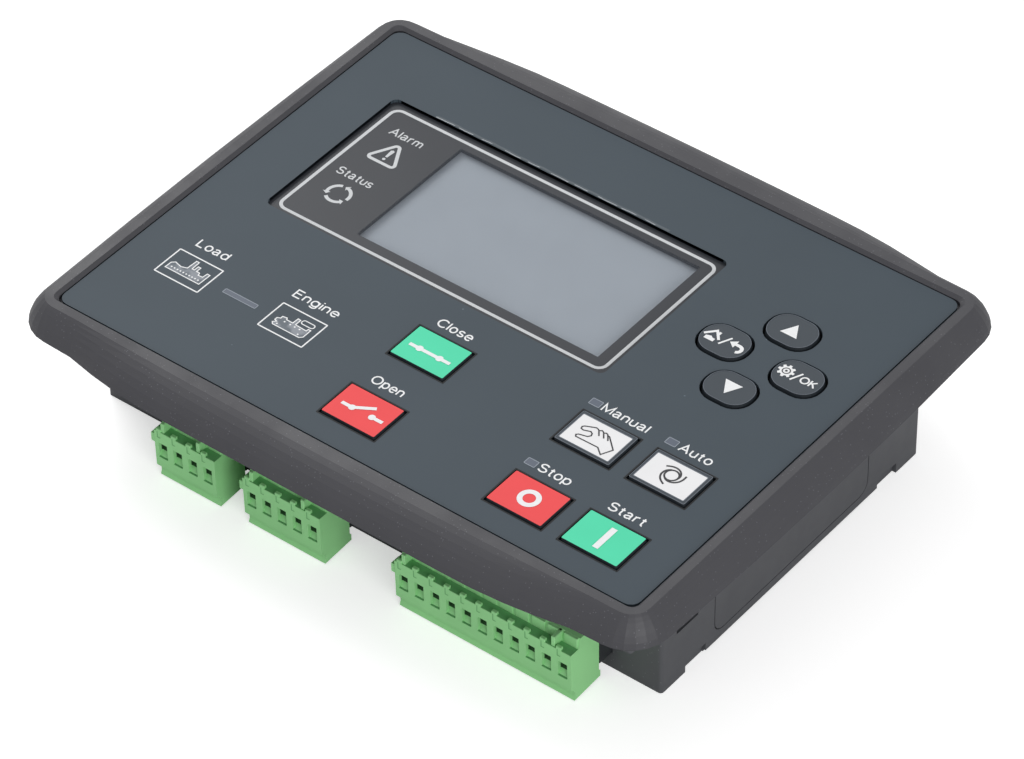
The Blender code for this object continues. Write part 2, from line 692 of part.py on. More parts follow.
def make_boards():
    main = (HALF_CAVITY[0] - BOARD_MARGIN, HALF_CAVITY[1] - BOARD_MARGIN)
    make_board("main_board", main, MAIN_BOARD_LOW, POST_PLACE)
    rear = (HALF_TRAY[0] - BOARD_MARGIN, HALF_TRAY[1] - BOARD_MARGIN)
    make_board("terminal_board", rear, TERMINAL_BOARD_LOW, STANDOFF_PLACE)
    bm = bmesh.new()
    low = TERMINAL_BOARD_TOP + GAP
    add_plate(bm, LINK_PLACE, LINK_SIZE, low, MAIN_BOARD_LOW - GAP)
    object_from(bm, "board_link", surface("link_plastic", (0.05, 0.05, 0.05), 0.5))


def make_panel_gasket():
    """Flat ring between the bezel and the panel that the controller is set into."""
    high = BEZEL_LOW - GAP
    low = high - GASKET_THICKNESS
    reach = (BEZEL_WIDTH - GASKET_INSET, BEZEL_HEIGHT - GASKET_INSET)
    corner = FRONT_CORNER - GASKET_INSET
    bm = bmesh.new()
    loft(bm, [front_loop(reach, level, corner, foot_swell, END_CROWN) for level in (low, high)])
    gasket = object_from(bm, "panel_gasket", surface("gasket_foam", (0.02, 0.02, 0.022), 0.9))
    bm = bmesh.new()
    hole = widened((2 * HALF_NECK[0], 2 * HALF_NECK[1]), PANEL_CLEARANCE)
    add_plate(bm, (0, 0), hole, low - GAP, high + GAP, OVERLAY_CORNER)
    combine(gasket, object_from(bm, "gasket_hole"), "DIFFERENCE")


def plug_places():
    """Name, pole count, left end and right end of each plug, from right to left."""
    places = []
    right = HALF_HOUSING[0] - PLUG_INSET
    for poles, gap in zip(PLUG_POLES, (*PLUG_GAPS, 0.0)):
        left = right - poles * PITCH - 2 * PLUG_END
        places.append((poles, left, right))
        right = left - gap
    return places


def make_rear_housing():
    """Tray with a wide flange that closes the neck, and with its side and foot cut-outs."""
    look = surface("housing_plastic", (0.095, 0.095, 0.1), 0.6)
    bm = bmesh.new()
    tray = (2 * HALF_HOUSING[0], 2 * HALF_HOUSING[1])
    add_plate(bm, (0, 0), tray, BACK, TRAY_TOP + FLANGE_PLATE / 2, HOUSING_CORNER)
    housing = object_from(bm, "rear_housing", look)

    bm = bmesh.new()
    flange = (2 * HALF_NECK[0], 2 * HALF_NECK[1])
    add_plate(bm, (0, 0), flange, TRAY_TOP, FLANGE_TOP, HOUSING_CORNER)
    combine(housing, object_from(bm, "housing_flange"), "UNION")

    bm = bmesh.new()
    hollow = (2 * HALF_TRAY[0], 2 * HALF_TRAY[1])
    add_plate(bm, (0, 0), hollow, BACK + HOUSING_FLOOR, FLANGE_TOP + GAP)
    combine(housing, object_from(bm, "housing_hollow"), "DIFFERENCE")

    bm = bmesh.new()
    for corner in four_corners(POST_PLACE):
        add_rod(bm, corner, POST_RADIUS, TRAY_TOP + GAP, MAIN_BOARD_LOW - GAP)
    for corner in four_corners(STANDOFF_PLACE):
        low = BACK + HOUSING_FLOOR / 2
        add_rod(bm, corner, POST_RADIUS, low, TERMINAL_BOARD_LOW - GAP)
    combine(housing, object_from(bm, "housing_bosses"), "UNION")

    bm = bmesh.new()
    for corner in four_corners(POST_PLACE):
        add_rod(bm, corner, SCREW_RADIUS + GAP, TRAY_TOP - GAP, MAIN_BOARD_LOW)
    for corner in four_corners(STANDOFF_PLACE):
        low = BACK + HOUSING_FLOOR / 2 - GAP
        add_rod(bm, corner, SCREW_RADIUS + GAP, low, TERMINAL_BOARD_LOW)
    for _, left, right in plug_places():
        wall = -HALF_HOUSING[1]
        low = (left - GAP, wall - GAP, HEADER_LOW - GAP)
        high = (right + GAP, wall + HOUSING_WALL + GAP, HEADER_TOP + GAP)
        add_block(bm, low, high)
    for side in (-1, 1):
        cover_cut(bm, side, GAP, COVER_THICKNESS + GAP)
    combine(housing, object_from(bm, "housing_cuts"), "DIFFERENCE")

    bm = bmesh.new()
    for side in (-1, 1):
        foot_notches(bm, side)
        clamp_slots(bm, side)
    combine(housing, object_from(bm, "notches_and_slots"), "DIFFERENCE")

    bm = bmesh.new()
    for side in (-1, 1):
        cover_cut(bm, side, -COVER_LEDGE, HOUSING_WALL + GAP)
    combine(housing, object_from(bm, "cover_windows"), "DIFFERENCE")

    bm = bmesh.new()
    for side in (-1, 1):
        inner = side * (HALF_HOUSING[0] - FOOT_RELIEF)
        outer = side * (HALF_HOUSING[0] + GAP)
        low = (min(inner, outer), -FOOT_NOTCH_PLACE, BACK - GAP)
        add_block(bm, low, (max(inner, outer), FOOT_NOTCH_PLACE, BACK + FOOT_RELIEF))
    combine(housing, object_from(bm, "foot_reliefs"), "DIFFERENCE")


def cover_cut(bm, side, clearance, depth):
    """Adds a rounded block that reaches into one side wall from outside."""
    begins = len(bm.verts)
    size = (COVER_LENGTH + 2 * clearance, COVER_HEIGHT + 2 * clearance)
    outside = 0.0 if clearance == 0 else GAP
    add_plate(bm, (0, 0), size, -depth, outside, COVER_CORNER + clearance)
    bm.verts.ensure_lookup_table()
    made = bm.verts[begins:]
    turn = Matrix(((0, 0, side, 0), (1, 0, 0, 0), (0, 1, 0, 0), (0, 0, 0, 1)))
    bmesh.ops.transform(bm, matrix=turn, verts=made)
    lift = BACK + COVER_LIFT + COVER_HEIGHT / 2
    bmesh.ops.translate(bm, vec=(side * HALF_HOUSING[0], COVER_SHIFT, lift), verts=made)


def foot_notches(bm, side):
    wall = side * HALF_HOUSING[0]
    depth = side * FOOT_NOTCH_DEPTH
    for y in (-FOOT_NOTCH_PLACE, FOOT_NOTCH_PLACE):
        x_low = min(wall - depth, wall + side * GAP)
        x_high = max(wall - depth, wall + side * GAP)
        low = (x_low, y - FOOT_NOTCH_LENGTH / 2, BACK - GAP)
        high = (x_high, y + FOOT_NOTCH_LENGTH / 2, BACK + FOOT_NOTCH_HEIGHT)
        add_block(bm, low, high)


def clamp_slots(bm, side):
    """Slots in the side walls where the panel clamps hook in."""
    wall = side * HALF_HOUSING[0]
    inner = wall - side * (HOUSING_WALL + GAP)
    outer = wall + side * GAP
    for y in (-CLAMP_SLOT_PLACE, CLAMP_SLOT_PLACE):
        low = (min(inner, outer), y - CLAMP_SLOT_LENGTH / 2, BACK + CLAMP_SLOT_LIFT)
        top = BACK + CLAMP_SLOT_LIFT + CLAMP_SLOT_HEIGHT
        add_block(bm, low, (max(inner, outer), y + CLAMP_SLOT_LENGTH / 2, top))


def make_side_covers():
    for side, name in ((1, "side_cover_right"), (-1, "side_cover_left")):
        bm = bmesh.new()
        cover_cut(bm, side, 0.0, COVER_THICKNESS)
        object_from(bm, name, surface(name + "_plastic", (0.1, 0.1, 0.105), 0.6))


def make_screw(name, x, y, seat, length, head_up):
    """Pan-head screw turned from its section; its seat is the underside of the head."""
    way = 1.0 if head_up else -1.0
    head = SCREW_HEAD_HEIGHT
    section = [
        (0.0, head),
        (SCREW_HEAD_RADIUS * 0.8, head),
        (SCREW_HEAD_RADIUS, head * 0.7),
        (SCREW_HEAD_RADIUS, 0.0),
        (SCREW_RADIUS, 0.0),
        (SCREW_RADIUS, 0.5 - length),
        (SCREW_RADIUS * 0.6, -length),
        (0.0, -length),
    ]
    if not head_up:
        section = [(r, -z) for r, z in reversed(section)]
    mesh = bpy.data.meshes.new(name)
    points = [(r * MM, 0.0, z * MM) for r, z in section]
    mesh.from_pydata(points, [(i, i + 1) for i in range(len(points) - 1)], [])
    mesh.materials.append(surface(name + "_steel", (0.6, 0.6, 0.6), 0.35, 1.0))
    screw = bpy.data.objects.new(name, mesh)
    screw.location = Vector((x, y, seat + way * GAP)) * MM
    PARTS.objects.link(screw)
    turned = screw.modifiers.new("turned", "SCREW")
    turned.steps = SCREW_STEPS
    turned.render_steps = SCREW_STEPS
    turned.use_merge_vertices = True
    turned.merge_threshold = 0.00001
    turned.use_smooth_shade = True


def make_screws():
    for i, (x, y) in enumerate(four_corners(POST_PLACE), start=1):
        reach = MAIN_BOARD_TOP + GAP + SCREW_DEPTH - TRAY_TOP
        make_screw(f"case_screw_{i}", x, y, TRAY_TOP, reach, head_up=False)
    for i, (x, y) in enumerate(four_corners(STANDOFF_PLACE), start=1):
        reach = TERMINAL_BOARD_TOP + GAP - BACK - HOUSING_FLOOR / 2
        make_screw(f"board_screw_{i}", x, y, TERMINAL_BOARD_TOP, reach, head_up=True)


def plug_outline():
    """The plug's end view as (y, z), with the wire side at the low y."""
    back = -HALF_HOUSING[1] - PLUG_STAND_OFF
    section = (
        (0.0, 3.1),
        (0.0, PLUG_RIDGE - 1.0),
        (1.0, PLUG_RIDGE),
        (RIDGE_DEPTH, PLUG_RIDGE),
        (SHOULDER_BACK - 0.6, PLUG_SHOULDER),
        (PLUG_DEPTH, PLUG_SHOULDER),
        (PLUG_DEPTH - 0.3, LIP_HEIGHT),
        (PLUG_DEPTH - 1.3, LIP_HEIGHT - 0.8),
        (PLUG_DEPTH - 1.9, LIP_HEIGHT - 2.0),
        (PLUG_DEPTH - 2.0, LIP_HEIGHT - 3.1),
        (PLUG_DEPTH - 1.55, 0.0),
        (-0.6, 0.5),
        (-0.6, 2.4),
    )
    return [(back - out, PLUG_LOW + up) for out, up in section]


def make_plug(poles, left, right):
    """Pluggable terminal block with a wire entry and a release funnel at each pole."""
    name = f"plug_{poles}_pole"
    look = surface(name + "_plastic", (0.20, 0.56, 0.22), 0.45)
    plug = extruded_outline(name, plug_outline(), left, right, look)
    back = -HALF_HOUSING[1] - PLUG_STAND_OFF
    front = back - PLUG_DEPTH
    first_pole = left + PLUG_END + PITCH / 2

    wire_entry = [
        (front - 1.0, PLUG_LOW + WIRE_BOTTOM),
        (front + 0.6, PLUG_LOW + WIRE_BOTTOM),
        (front + 0.6 + WIRE_RAMP * 0.8, PLUG_LOW + WIRE_BOTTOM + WIRE_RAMP),
        (front + WIRE_DEPTH, PLUG_LOW + WIRE_BOTTOM + WIRE_RAMP),
        (front + WIRE_DEPTH, PLUG_LOW + WIRE_TOP),
        (front - 1.0, PLUG_LOW + WIRE_TOP),
    ]
    half = WIRE_WIDTH / 2
    cutter = extruded_outline(name + "_wires", wire_entry, first_pole - half, first_pole + half)
    repeat_along_x(cutter, poles, PITCH)
    combine(plug, cutter, "DIFFERENCE")

    bm = bmesh.new()
    low = PLUG_LOW + PLUG_SHOULDER - FUNNEL_DEPTH
    centre = (first_pole, back - FUNNEL_PLACE)
    add_rod(bm, centre, FUNNEL_RADIUS, low, PLUG_LOW + PLUG_RIDGE + GAP, steps=12)
    funnel = object_from(bm, name + "_funnels")
    repeat_along_x(funnel, poles, PITCH)
    combine(plug, funnel, "DIFFERENCE")

    bm = bmesh.new()
    inset = HEADER_WALL + GAP
    low = (left + inset, back - GAP, HEADER_LOW + inset)
    high = (right - inset, back + TONGUE_DEPTH, HEADER_TOP - inset)
    add_block(bm, low, high)
    combine(plug, object_from(bm, name + "_tongue"), "UNION")

    bm = bmesh.new()
    low = (left - KEYWAY_DEPTH, front + GAP, PLUG_LOW + KEYWAY_TOP - KEYWAY_HEIGHT)
    high = (left + KEYWAY_DEPTH, front + GAP + KEYWAY_WIDTH, PLUG_LOW + KEYWAY_TOP)
    add_block(bm, low, high)
    combine(plug, object_from(bm, name + "_keyway"), "UNION")

    bm = bmesh.new()
    reach = pin_tip() - GAP
    add_pin(bm, first_pole, PIN_WIDTH + 2 * GAP, reach, back + TONGUE_DEPTH + GAP)
    sockets = object_from(bm, name + "_sockets")
    repeat_along_x(sockets, poles, PITCH)
    combine(plug, sockets, "DIFFERENCE")


def header_back():
    return -HALF_HOUSING[1] - PLUG_STAND_OFF + GAP + HEADER_DEPTH


def pin_tip():
    return header_back() - HEADER_WALL - PIN_REACH


def add_pin(bm, x, width, y_low, y_high):
    middle = (HEADER_LOW + HEADER_TOP) / 2
    low = (x - width / 2, y_low, middle - width / 2)
    add_block(bm, low, (x + width / 2, y_high, middle + width / 2))


def make_header(poles, left, right):
    """Open box on the terminal board that takes the plug's tongue, with its pins."""
    name = f"header_{poles}_pole"
    front = -HALF_HOUSING[1] - PLUG_STAND_OFF + GAP
    bm = bmesh.new()
    add_block(bm, (left, front, HEADER_LOW), (right, header_back(), HEADER_TOP))
    header = object_from(bm, name, surface(name + "_plastic", (0.05, 0.2, 0.08), 0.5))
    bm = bmesh.new()
    low = (left + HEADER_WALL, front - GAP, HEADER_LOW + HEADER_WALL)
    high = (right - HEADER_WALL, header_back() - HEADER_WALL, HEADER_TOP - HEADER_WALL)
    add_block(bm, low, high)
    combine(header, object_from(bm, name + "_hollow"), "DIFFERENCE")
    bm = bmesh.new()
    first_pole = left + PLUG_END + PITCH / 2
    add_pin(bm, first_pole, PIN_WIDTH, pin_tip(), header_back() - HEADER_WALL / 2)
    pins = object_from(bm, name + "_pins")
    repeat_along_x(pins, poles, PITCH)
    combine(header, pins, "UNION")


make_front_frame()
make_overlay()
make_display()
make_keys()
make_light_guides()
make_keypad_mat()
make_boards()
make_panel_gasket()
make_rear_housing()
make_side_covers()
make_screws()
for plug_poles, plug_left, plug_right in plug_places():
    make_plug(plug_poles, plug_left, plug_right)
    make_header(plug_poles, plug_left, plug_right)
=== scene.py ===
"""Looks of the genset controller: finishes, prints, display and studio.

Lengths are in millimetres, apart from the lamps', and become metres where a mesh is made.
X runs along the long side of the face, Y up the face and Z out of it.
"""
from math import cos, pi, radians, sin

import bmesh
import bpy
from mathutils import Euler, Matrix, Vector


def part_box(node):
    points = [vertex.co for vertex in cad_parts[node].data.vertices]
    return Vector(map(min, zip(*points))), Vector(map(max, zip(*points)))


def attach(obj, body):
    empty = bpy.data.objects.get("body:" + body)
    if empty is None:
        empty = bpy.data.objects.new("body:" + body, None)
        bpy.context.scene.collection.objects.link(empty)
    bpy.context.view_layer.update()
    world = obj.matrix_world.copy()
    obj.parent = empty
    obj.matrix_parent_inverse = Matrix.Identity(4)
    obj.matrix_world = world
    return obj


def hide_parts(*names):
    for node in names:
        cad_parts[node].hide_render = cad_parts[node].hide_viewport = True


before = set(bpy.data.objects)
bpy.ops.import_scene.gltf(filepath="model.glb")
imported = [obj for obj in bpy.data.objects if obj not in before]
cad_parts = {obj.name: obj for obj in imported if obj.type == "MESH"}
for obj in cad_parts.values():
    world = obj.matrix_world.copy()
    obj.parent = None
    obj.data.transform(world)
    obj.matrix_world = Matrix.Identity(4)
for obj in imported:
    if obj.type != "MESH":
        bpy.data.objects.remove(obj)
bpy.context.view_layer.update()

MM = 0.001
UNIT = "unit"

# Camera of the photograph: its place is counted from the middle of the face
CAMERA_PLACE = (646.64, -811.90, 914.35)
CAMERA_AZIMUTH = 38.5035
CAMERA_ELEVATION = 42.2152
CAMERA_ROLL = -0.7247
CAMERA_LENS = 187.88
CAMERA_REACH = 20000.0
SENSOR_WIDTH = 36.0

# Studio: each lamp is a place and a size in metres, and a power in watts
FLOOR_REACH = 6000.0
FLOOR_LEVEL = -0.05
FLOOR_PAPER = 0.86
FLOOR_GLOW = 0.52
AIR_ON_OBJECT = 0.5
AIR_SEEN = 1.0
BACK_LAMP = ((-1.2, 0.5, 1.3), (1.2, 1.0), 15.0)
FRONT_LAMP = ((1.5, -0.9, 0.65), (1.0, 0.8), 16.0)

# Colours in sRGB
BEZEL_GREY = (0.215, 0.215, 0.235)
FILM_GREY = (0.262, 0.302, 0.334)
LENS_GREY = (0.235, 0.245, 0.265)
WINDOW_GREY = (0.62, 0.65, 0.70)
LCD_GREY = (0.68, 0.71, 0.74)
LCD_STEEL = (0.74, 0.74, 0.76)
SCREW_STEEL = (0.80, 0.80, 0.80)
BOARD_GREEN = (0.06, 0.33, 0.20)
GASKET_BLACK = (0.13, 0.13, 0.14)
KEY_GREEN = (0.345, 0.88, 0.70)
KEY_RED = (0.96, 0.33, 0.34)
KEY_WHITE = (0.955, 0.955, 0.96)
KEY_SLATE = (0.29, 0.315, 0.34)
KEY_SIDE = (0.14, 0.16, 0.18)
LABEL_EDGE = (0.43, 0.46, 0.50)
LAMP_GREY = (0.40, 0.43, 0.48)
LAMP_EDGE = (0.60, 0.63, 0.67)
PRINT_WHITE = (0.96, 0.965, 0.97)
PRINT_SILVER = (0.83, 0.84, 0.85)
ICON_FILL = (0.42, 0.45, 0.48)
ICON_FILL_PALE = (0.58, 0.60, 0.63)
ICON_GREY = (0.25, 0.25, 0.26)
HOUSING_GREY = (0.285, 0.29, 0.305)
PLUG_GREEN = (0.56, 0.805, 0.55)
# Painted shade: the plug green darkened for lines and strips where shade falls on the plugs
PLUG_PAINTED_SHADE = (0.38, 0.63, 0.40)
# Painted shade of the hole at the head of each wire ramp
THROAT_SHADE_GREEN = (0.16, 0.29, 0.17)
HEADER_GREY = (0.16, 0.17, 0.18)
GAP_BLACK = (0.10, 0.11, 0.12)
# Painted shade of the window's recess wall
RECESS_SHADE_BLACK = (0.12, 0.135, 0.16)
GLINT_WHITE = (0.90, 0.92, 0.94)

# Surfaces: where the noise changes a tint or a roughness, and how a dust speck differs
MOTTLE_STOPS = (0.3, 0.7)
BLOTCH_STOPS = (0.42, 0.58)
WEAR_STOPS = (0.35, 0.65)
WEAR_SPREAD = (-0.06, 0.08)
DUST_GAIN = 1.8
DUST_LIFT = 0.02
WINDOW_ALPHA = 0.12

# Prints on the face: a word has a left end, a baseline and a right end
INK = 0.04
STROKE_STEP = 0.01
MITRE_LIMIT = 0.35
LETTER_HEIGHT = 3.25
LETTER_STROKE = 0.46
LETTER_GAP = 0.23
FACE_WORDS = {
    "load": ("Load", -79.05, -32.5, -68.65),
    "engine": ("Engine", -46.15, -32.5, -31.35),
    "close": ("Close", -9.55, -18.7, 1.75),
    "open": ("Open", -9.35, -45.9, 0.95),
    "manual": ("Manual", 43.85, -18.8, 58.25),
    "auto": ("Auto", 68.15, -18.8, 78.25),
    "stop": ("Stop", 44.65, -46.0, 54.55),
    "start": ("Start", 67.05, -46.5, 78.15),
}
ICON_FRAME = (14.65, 10.55)
ICON_CORNER = 0.15
ICON_STROKE = 0.42
ICON_LINE = 0.32
ICON_DOT = 0.27
LOAD_ICON_PLACE = (-73.75, -41.1)
ENGINE_ICON_PLACE = (-38.6, -41.1)
LAMP_SIZE = (3.2, 2.3)
LAMP_CORNER = 0.2
LAMP_STROKE = 0.22
LAMP_PLACES = {"manual": (41.55, -17.2), "auto": (65.6, -17.2), "stop": (42.15, -44.6)}
LOAD_LAMP_SIZE = (10.9, 1.6)
LOAD_LAMP_PLACE = (-55.9, -41.4)

# Key tops: a lift is counted in thicknesses of the ink
GREEN_KEYS = ("key_close", "key_start")
RED_KEYS = ("key_open", "key_stop")
WHITE_KEYS = ("key_manual", "key_auto")
ROUND_KEYS = ("key_home", "key_up", "key_down", "key_confirm")
KEY_WELL = (18.75, 14.05)
WELL_CORNER = 0.05
WELL_STROKE = 0.45
LABEL_CORNER = 0.3
WIDE_LABEL = (17.0, 12.3)
WIDE_RIM = 0.18
PALE_LABEL = (15.6, 10.6)
PALE_SHIFT = (-0.1, 0.0)
PALE_RIM = 0.25
PALE_LIFT = 2.0
ROUND_LABEL = (13.6, 10.8)
ROUND_CORNER = 4.9
ROUND_RIM = 0.15
RIM_LIFT = 2.5
SIGN_LIFT = 3
HAND_STROKE = 0.38
SLASH_STROKE = 0.55
GEAR_PLACE = (-3.8, 0.25)
OK_PLACE = (0.8, -1.35)
OK_SIZE = (4.9, 2.75)

# Display: the signs and words on the lens are counted from its lower left corner
LCD_FIELD = (79.6, 44.0)
FIELD_SHIFT = (0.1, 0.2)
FIELD_MARGIN = 1.1
FIELD_DEPTH = 1.9
FIELD_CORNER = 0.5
SILVER_SIZE = (107.8, 50.4)
SILVER_SHIFT = (0.15, -0.05)
SILVER_CORNER = 2.6
SILVER_STROKE = 0.98
LENS_WORDS = (("Alarm", 6.9, 43.05, 17.8), ("Status", 5.8, 22.05, 17.6))
LENS_LETTER_HEIGHT = 3.1
LENS_LETTER_STROKE = 0.44
LENS_SIGN_STROKE = 1.0
ALARM_PLACE = (12.9, 35.3)
ALARM_REACH = (3.85, 4.1)
ALARM_CORNER = 0.9
STATUS_PLACE = (12.4, 15.5)
STATUS_RADIUS = 3.35
STATUS_SWEEP = 88
ARROW_SWEEP = 17
ARROW_HALF = 1.1

# Edge of the window: each row of the film's curl has a place, a spread and a rise
WINDOW_CORNER = 2.0
# Foot and head of the painted shade sheet on the recess wall
WALL_FOOT = 0.01
WALL_HEAD = 0.04
CURL_START = 14.0
CURL_END = 20.0
CURL_STEPS = 160
CURL_FADE = 8
CURL_MEAN = 0.5
CURL_WAVES = ((0.28, 31, 0.0), (0.22, 83, 1.0))
CURL_LEVEL = 0.01
CURL_SPREAD = 0.25
CURL_ROWS = (
    (0.02, 0.0, -0.30),
    (0.16, CURL_SPREAD, 0.05),
    (0.30, CURL_SPREAD, 0.02),
    (0.95, CURL_SPREAD, 0.0),
)
GLINT_PITCH = 16
GLINT_PLACE = 0.14
GLINT_RISE = 0.13
GLINT_STROKE = 0.13

# Terminal plugs: a depth and a height are counted from the lower front edge of each
PITCH = 5.08
PLUG_END = 0.15
WIRE_HALF = 1.44
WIRE_BOTTOM = 8.0
WIRE_TOP = 12.88
# WIRE_LEDGE is the depth of the painted shadow along the foot of each wire window
WIRE_LEDGE = 0.6
# Corners of the painted shade in each throat, and where the painted shadow on its wall starts
THROAT_START = (1.65, 9.36)
THROAT_END = (3.3, 11.42)
WALL_SHADE_START = (1.25, 9.8)
FACE_GAP = 0.01
STEP_BACK = 3.6
STEP_DROP = 1.8
SHOULDER = 16.9

# Small forms of the plugs, counted from a pole's middle, the front and the shoulder; the seam is a
# painted shade line beside each tab, and the strip is painted shade along the shoulder
TAB = ((-2.1, 0.01, -0.5), (-0.4, 1.1, 0.85))
RIDGE = ((-1.9, 3.1, -0.5), (2.3, 4.0, 3.1))
RIB = ((-0.6, 0.3, -1.0), (0.6, 4.0, 3.1))
RIB_PLACE = 0.62
BLOCK_BEVEL = 0.15
SEAM_SHADE = ((-1.65, 0.1), (-1.4, 0.1), (-1.4, -1.9), (-0.6, -1.9), (-0.6, -2.15), (-1.65, -2.15))
STRIP_ENDS = (1.4, 0.1)
STRIP_DEPTHS = (0.15, 3.0)


def linear(colour):
    """sRGB to the linear values that a shader takes."""
    return tuple(c / 12.92 if c <= 0.04045 else ((c + 0.055) / 1.055) ** 2.4 for c in colour)


def corners(node):
    """Lowest and highest corner of a CAD node, in millimetres."""
    low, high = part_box(node)
    return low / MM, high / MM


def middle(node):
    low, high = corners(node)
    return (low + high) / 2


FACE = corners("overlay")[1].z
LENS_TOP = corners("display_lens")[1].z
KEY_TOP = corners("key_start")[1].z


class Surface:
    """A material whose nodes are added one by one."""

    def __init__(self, name, colour, roughness, metallic=0.0, specular=0.5):
        self.material = bpy.data.materials.new(name)
        self.material.use_nodes = True
        self.nodes = self.material.node_tree.nodes
        self.links = self.material.node_tree.links
        self.shader = self.nodes["Principled BSDF"]
        self.base = (*linear(colour), 1.0)
        self.shader.inputs["Base Color"].default_value = self.base
        self.shader.inputs["Roughness"].default_value = roughness
        self.shader.inputs["Metallic"].default_value = metallic
        self.shader.inputs["Specular IOR Level"].default_value = specular
        self.place = self.nodes.new("ShaderNodeTexCoord").outputs["Object"]

    def noise(self, scale, detail=3.0, roughness=0.55):
        made = self.nodes.new("ShaderNodeTexNoise")
        made.inputs["Scale"].default_value = scale
        made.inputs["Detail"].default_value = detail
        made.inputs["Roughness"].default_value = roughness
        self.links.new(self.place, made.inputs["Vector"])
        return made.outputs["Fac"]

    def below(self, value, limit):
        """1 where the value is under the limit, else 0."""
        made = self.nodes.new("ShaderNodeMath")
        made.operation = "LESS_THAN"
        made.inputs[1].default_value = limit
        self.links.new(value, made.inputs[0])
        return made.outputs["Value"]

    def tint(self, value, stops, colours):
        """Base colour that runs from one colour to the other between two stops."""
        made = self.nodes.new("ShaderNodeValToRGB")
        for element, stop, colour in zip(made.color_ramp.elements, stops, colours):
            element.position = stop
            element.color = colour
        self.links.new(value, made.inputs["Fac"])
        self.links.new(made.outputs["Color"], self.shader.inputs["Base Color"])
        return made.outputs["Color"]

    def mottle(self, scale, amount):
        """Slow and slight changes of the colour's lightness."""
        shades = [(*[c * (1 + change) for c in self.base[:3]], 1.0) for change in (-amount, amount)]
        return self.tint(self.noise(scale), MOTTLE_STOPS, shades)

    def dust(self, colour, scale, speck, amount):
        """Sparse pale specks over the colour."""
        cells = self.nodes.new("ShaderNodeTexVoronoi")
        cells.inputs["Scale"].default_value = scale
        cells.inputs["Randomness"].default_value = 1.0
        self.links.new(self.place, cells.inputs["Vector"])
        split = self.nodes.new("ShaderNodeSeparateColor")
        self.links.new(cells.outputs["Color"], split.inputs["Color"])
        both = self.nodes.new("ShaderNodeMath")
        both.operation = "MULTIPLY"
        self.links.new(self.below(cells.outputs["Distance"], speck), both.inputs[0])
        self.links.new(self.below(split.outputs["Red"], amount), both.inputs[1])
        mix = self.nodes.new("ShaderNodeMix")
        mix.data_type = "RGBA"
        self.links.new(both.outputs["Value"], mix.inputs["Factor"])
        self.links.new(colour, mix.inputs["A"])
        mix.inputs["B"].default_value = (*[c * DUST_GAIN + DUST_LIFT for c in self.base[:3]], 1.0)
        self.links.new(mix.outputs["Result"], self.shader.inputs["Base Color"])

    def grain(self, scale, strength, distance=0.05):
        """Fine bumps of the given depth."""
        made = self.nodes.new("ShaderNodeBump")
        made.inputs["Strength"].default_value = strength
        made.inputs["Distance"].default_value = distance * MM
        self.links.new(self.noise(scale, detail=4.0), made.inputs["Height"])
        self.links.new(made.outputs["Normal"], self.shader.inputs["Normal"])

    def wear(self, roughness, scale):
        """Roughness that drifts a little around its value."""
        value = self.nodes.new("ShaderNodeMapRange")
        value.inputs["From Min"].default_value = WEAR_STOPS[0]
        value.inputs["From Max"].default_value = WEAR_STOPS[1]
        value.inputs["To Min"].default_value = roughness + WEAR_SPREAD[0]
        value.inputs["To Max"].default_value = roughness + WEAR_SPREAD[1]
        self.links.new(self.noise(scale), value.inputs["Value"])
        self.links.new(value.outputs["Result"], self.shader.inputs["Roughness"])


def moulded_surface(name, colour, roughness=0.5, grain_scale=2600, grain_strength=0.5, dusty=True):
    """Moulded plastic with a spark-eroded grain, with or without a little dust."""
    made = Surface(name, colour, roughness, specular=0.5 if dusty else 0.3)
    tint = made.mottle(scale=40, amount=0.05)
    if dusty:
        made.dust(tint, scale=1500, speck=0.24, amount=0.14)
    made.wear(roughness, scale=60)
    made.grain(grain_scale, grain_strength)
    return made.material


def plug_surface(name, colour):
    """Moulded plastic with a coarser and weaker grain, and no dust."""
    return moulded_surface(name, colour, grain_scale=1500, grain_strength=0.25, dusty=False)


def film_surface():
    """Printed film with a fine grain and a few specks."""
    made = Surface("overlay_film", FILM_GREY, roughness=0.5, specular=0.2)
    tint = made.mottle(scale=30, amount=0.03)
    made.dust(tint, scale=260, speck=0.07, amount=0.05)
    made.grain(scale=3800, strength=0.18, distance=0.02)
    return made.material


def cap_surface(name, colour, roughness=0.45, specular=0.15):
    """Smooth plastic of small parts."""
    made = Surface(name, colour, roughness, specular=specular)
    made.mottle(scale=90, amount=0.02)
    made.grain(scale=1900, strength=0.1, distance=0.02)
    return made.material


def ink_surface(name, colour):
    made = Surface(name, colour, roughness=0.5, specular=0.2)
    made.mottle(scale=900, amount=0.03)
    made.grain(scale=2500, strength=0.08, distance=0.01)
    return made.material


def blotched_surface(name, colour, pale):
    """Ink that changes between two greys over a few millimetres."""
    made = Surface(name, colour, roughness=0.5, specular=0.2)
    made.tint(made.noise(260, detail=2.0), BLOTCH_STOPS, (made.base, (*linear(pale), 1.0)))
    made.grain(scale=2500, strength=0.08, distance=0.01)
    return made.material


def steel_surface(name, colour, roughness):
    made = Surface(name, colour, roughness, metallic=1.0)
    made.mottle(scale=300, amount=0.05)
    made.grain(scale=1500, strength=0.15, distance=0.02)
    return made.material


def board_surface(name):
    made = Surface(name, BOARD_GREEN, roughness=0.35)
    made.mottle(scale=120, amount=0.12)
    made.grain(scale=800, strength=0.2, distance=0.03)
    return made.material


def printed_surface():
    """Clear plastic with a dark print behind it."""
    made = Surface("printed_lens", LENS_GREY, roughness=0.3, specular=0.2)
    made.mottle(scale=40, amount=0.03)
    made.grain(scale=70, strength=0.03, distance=0.03)
    return made.material


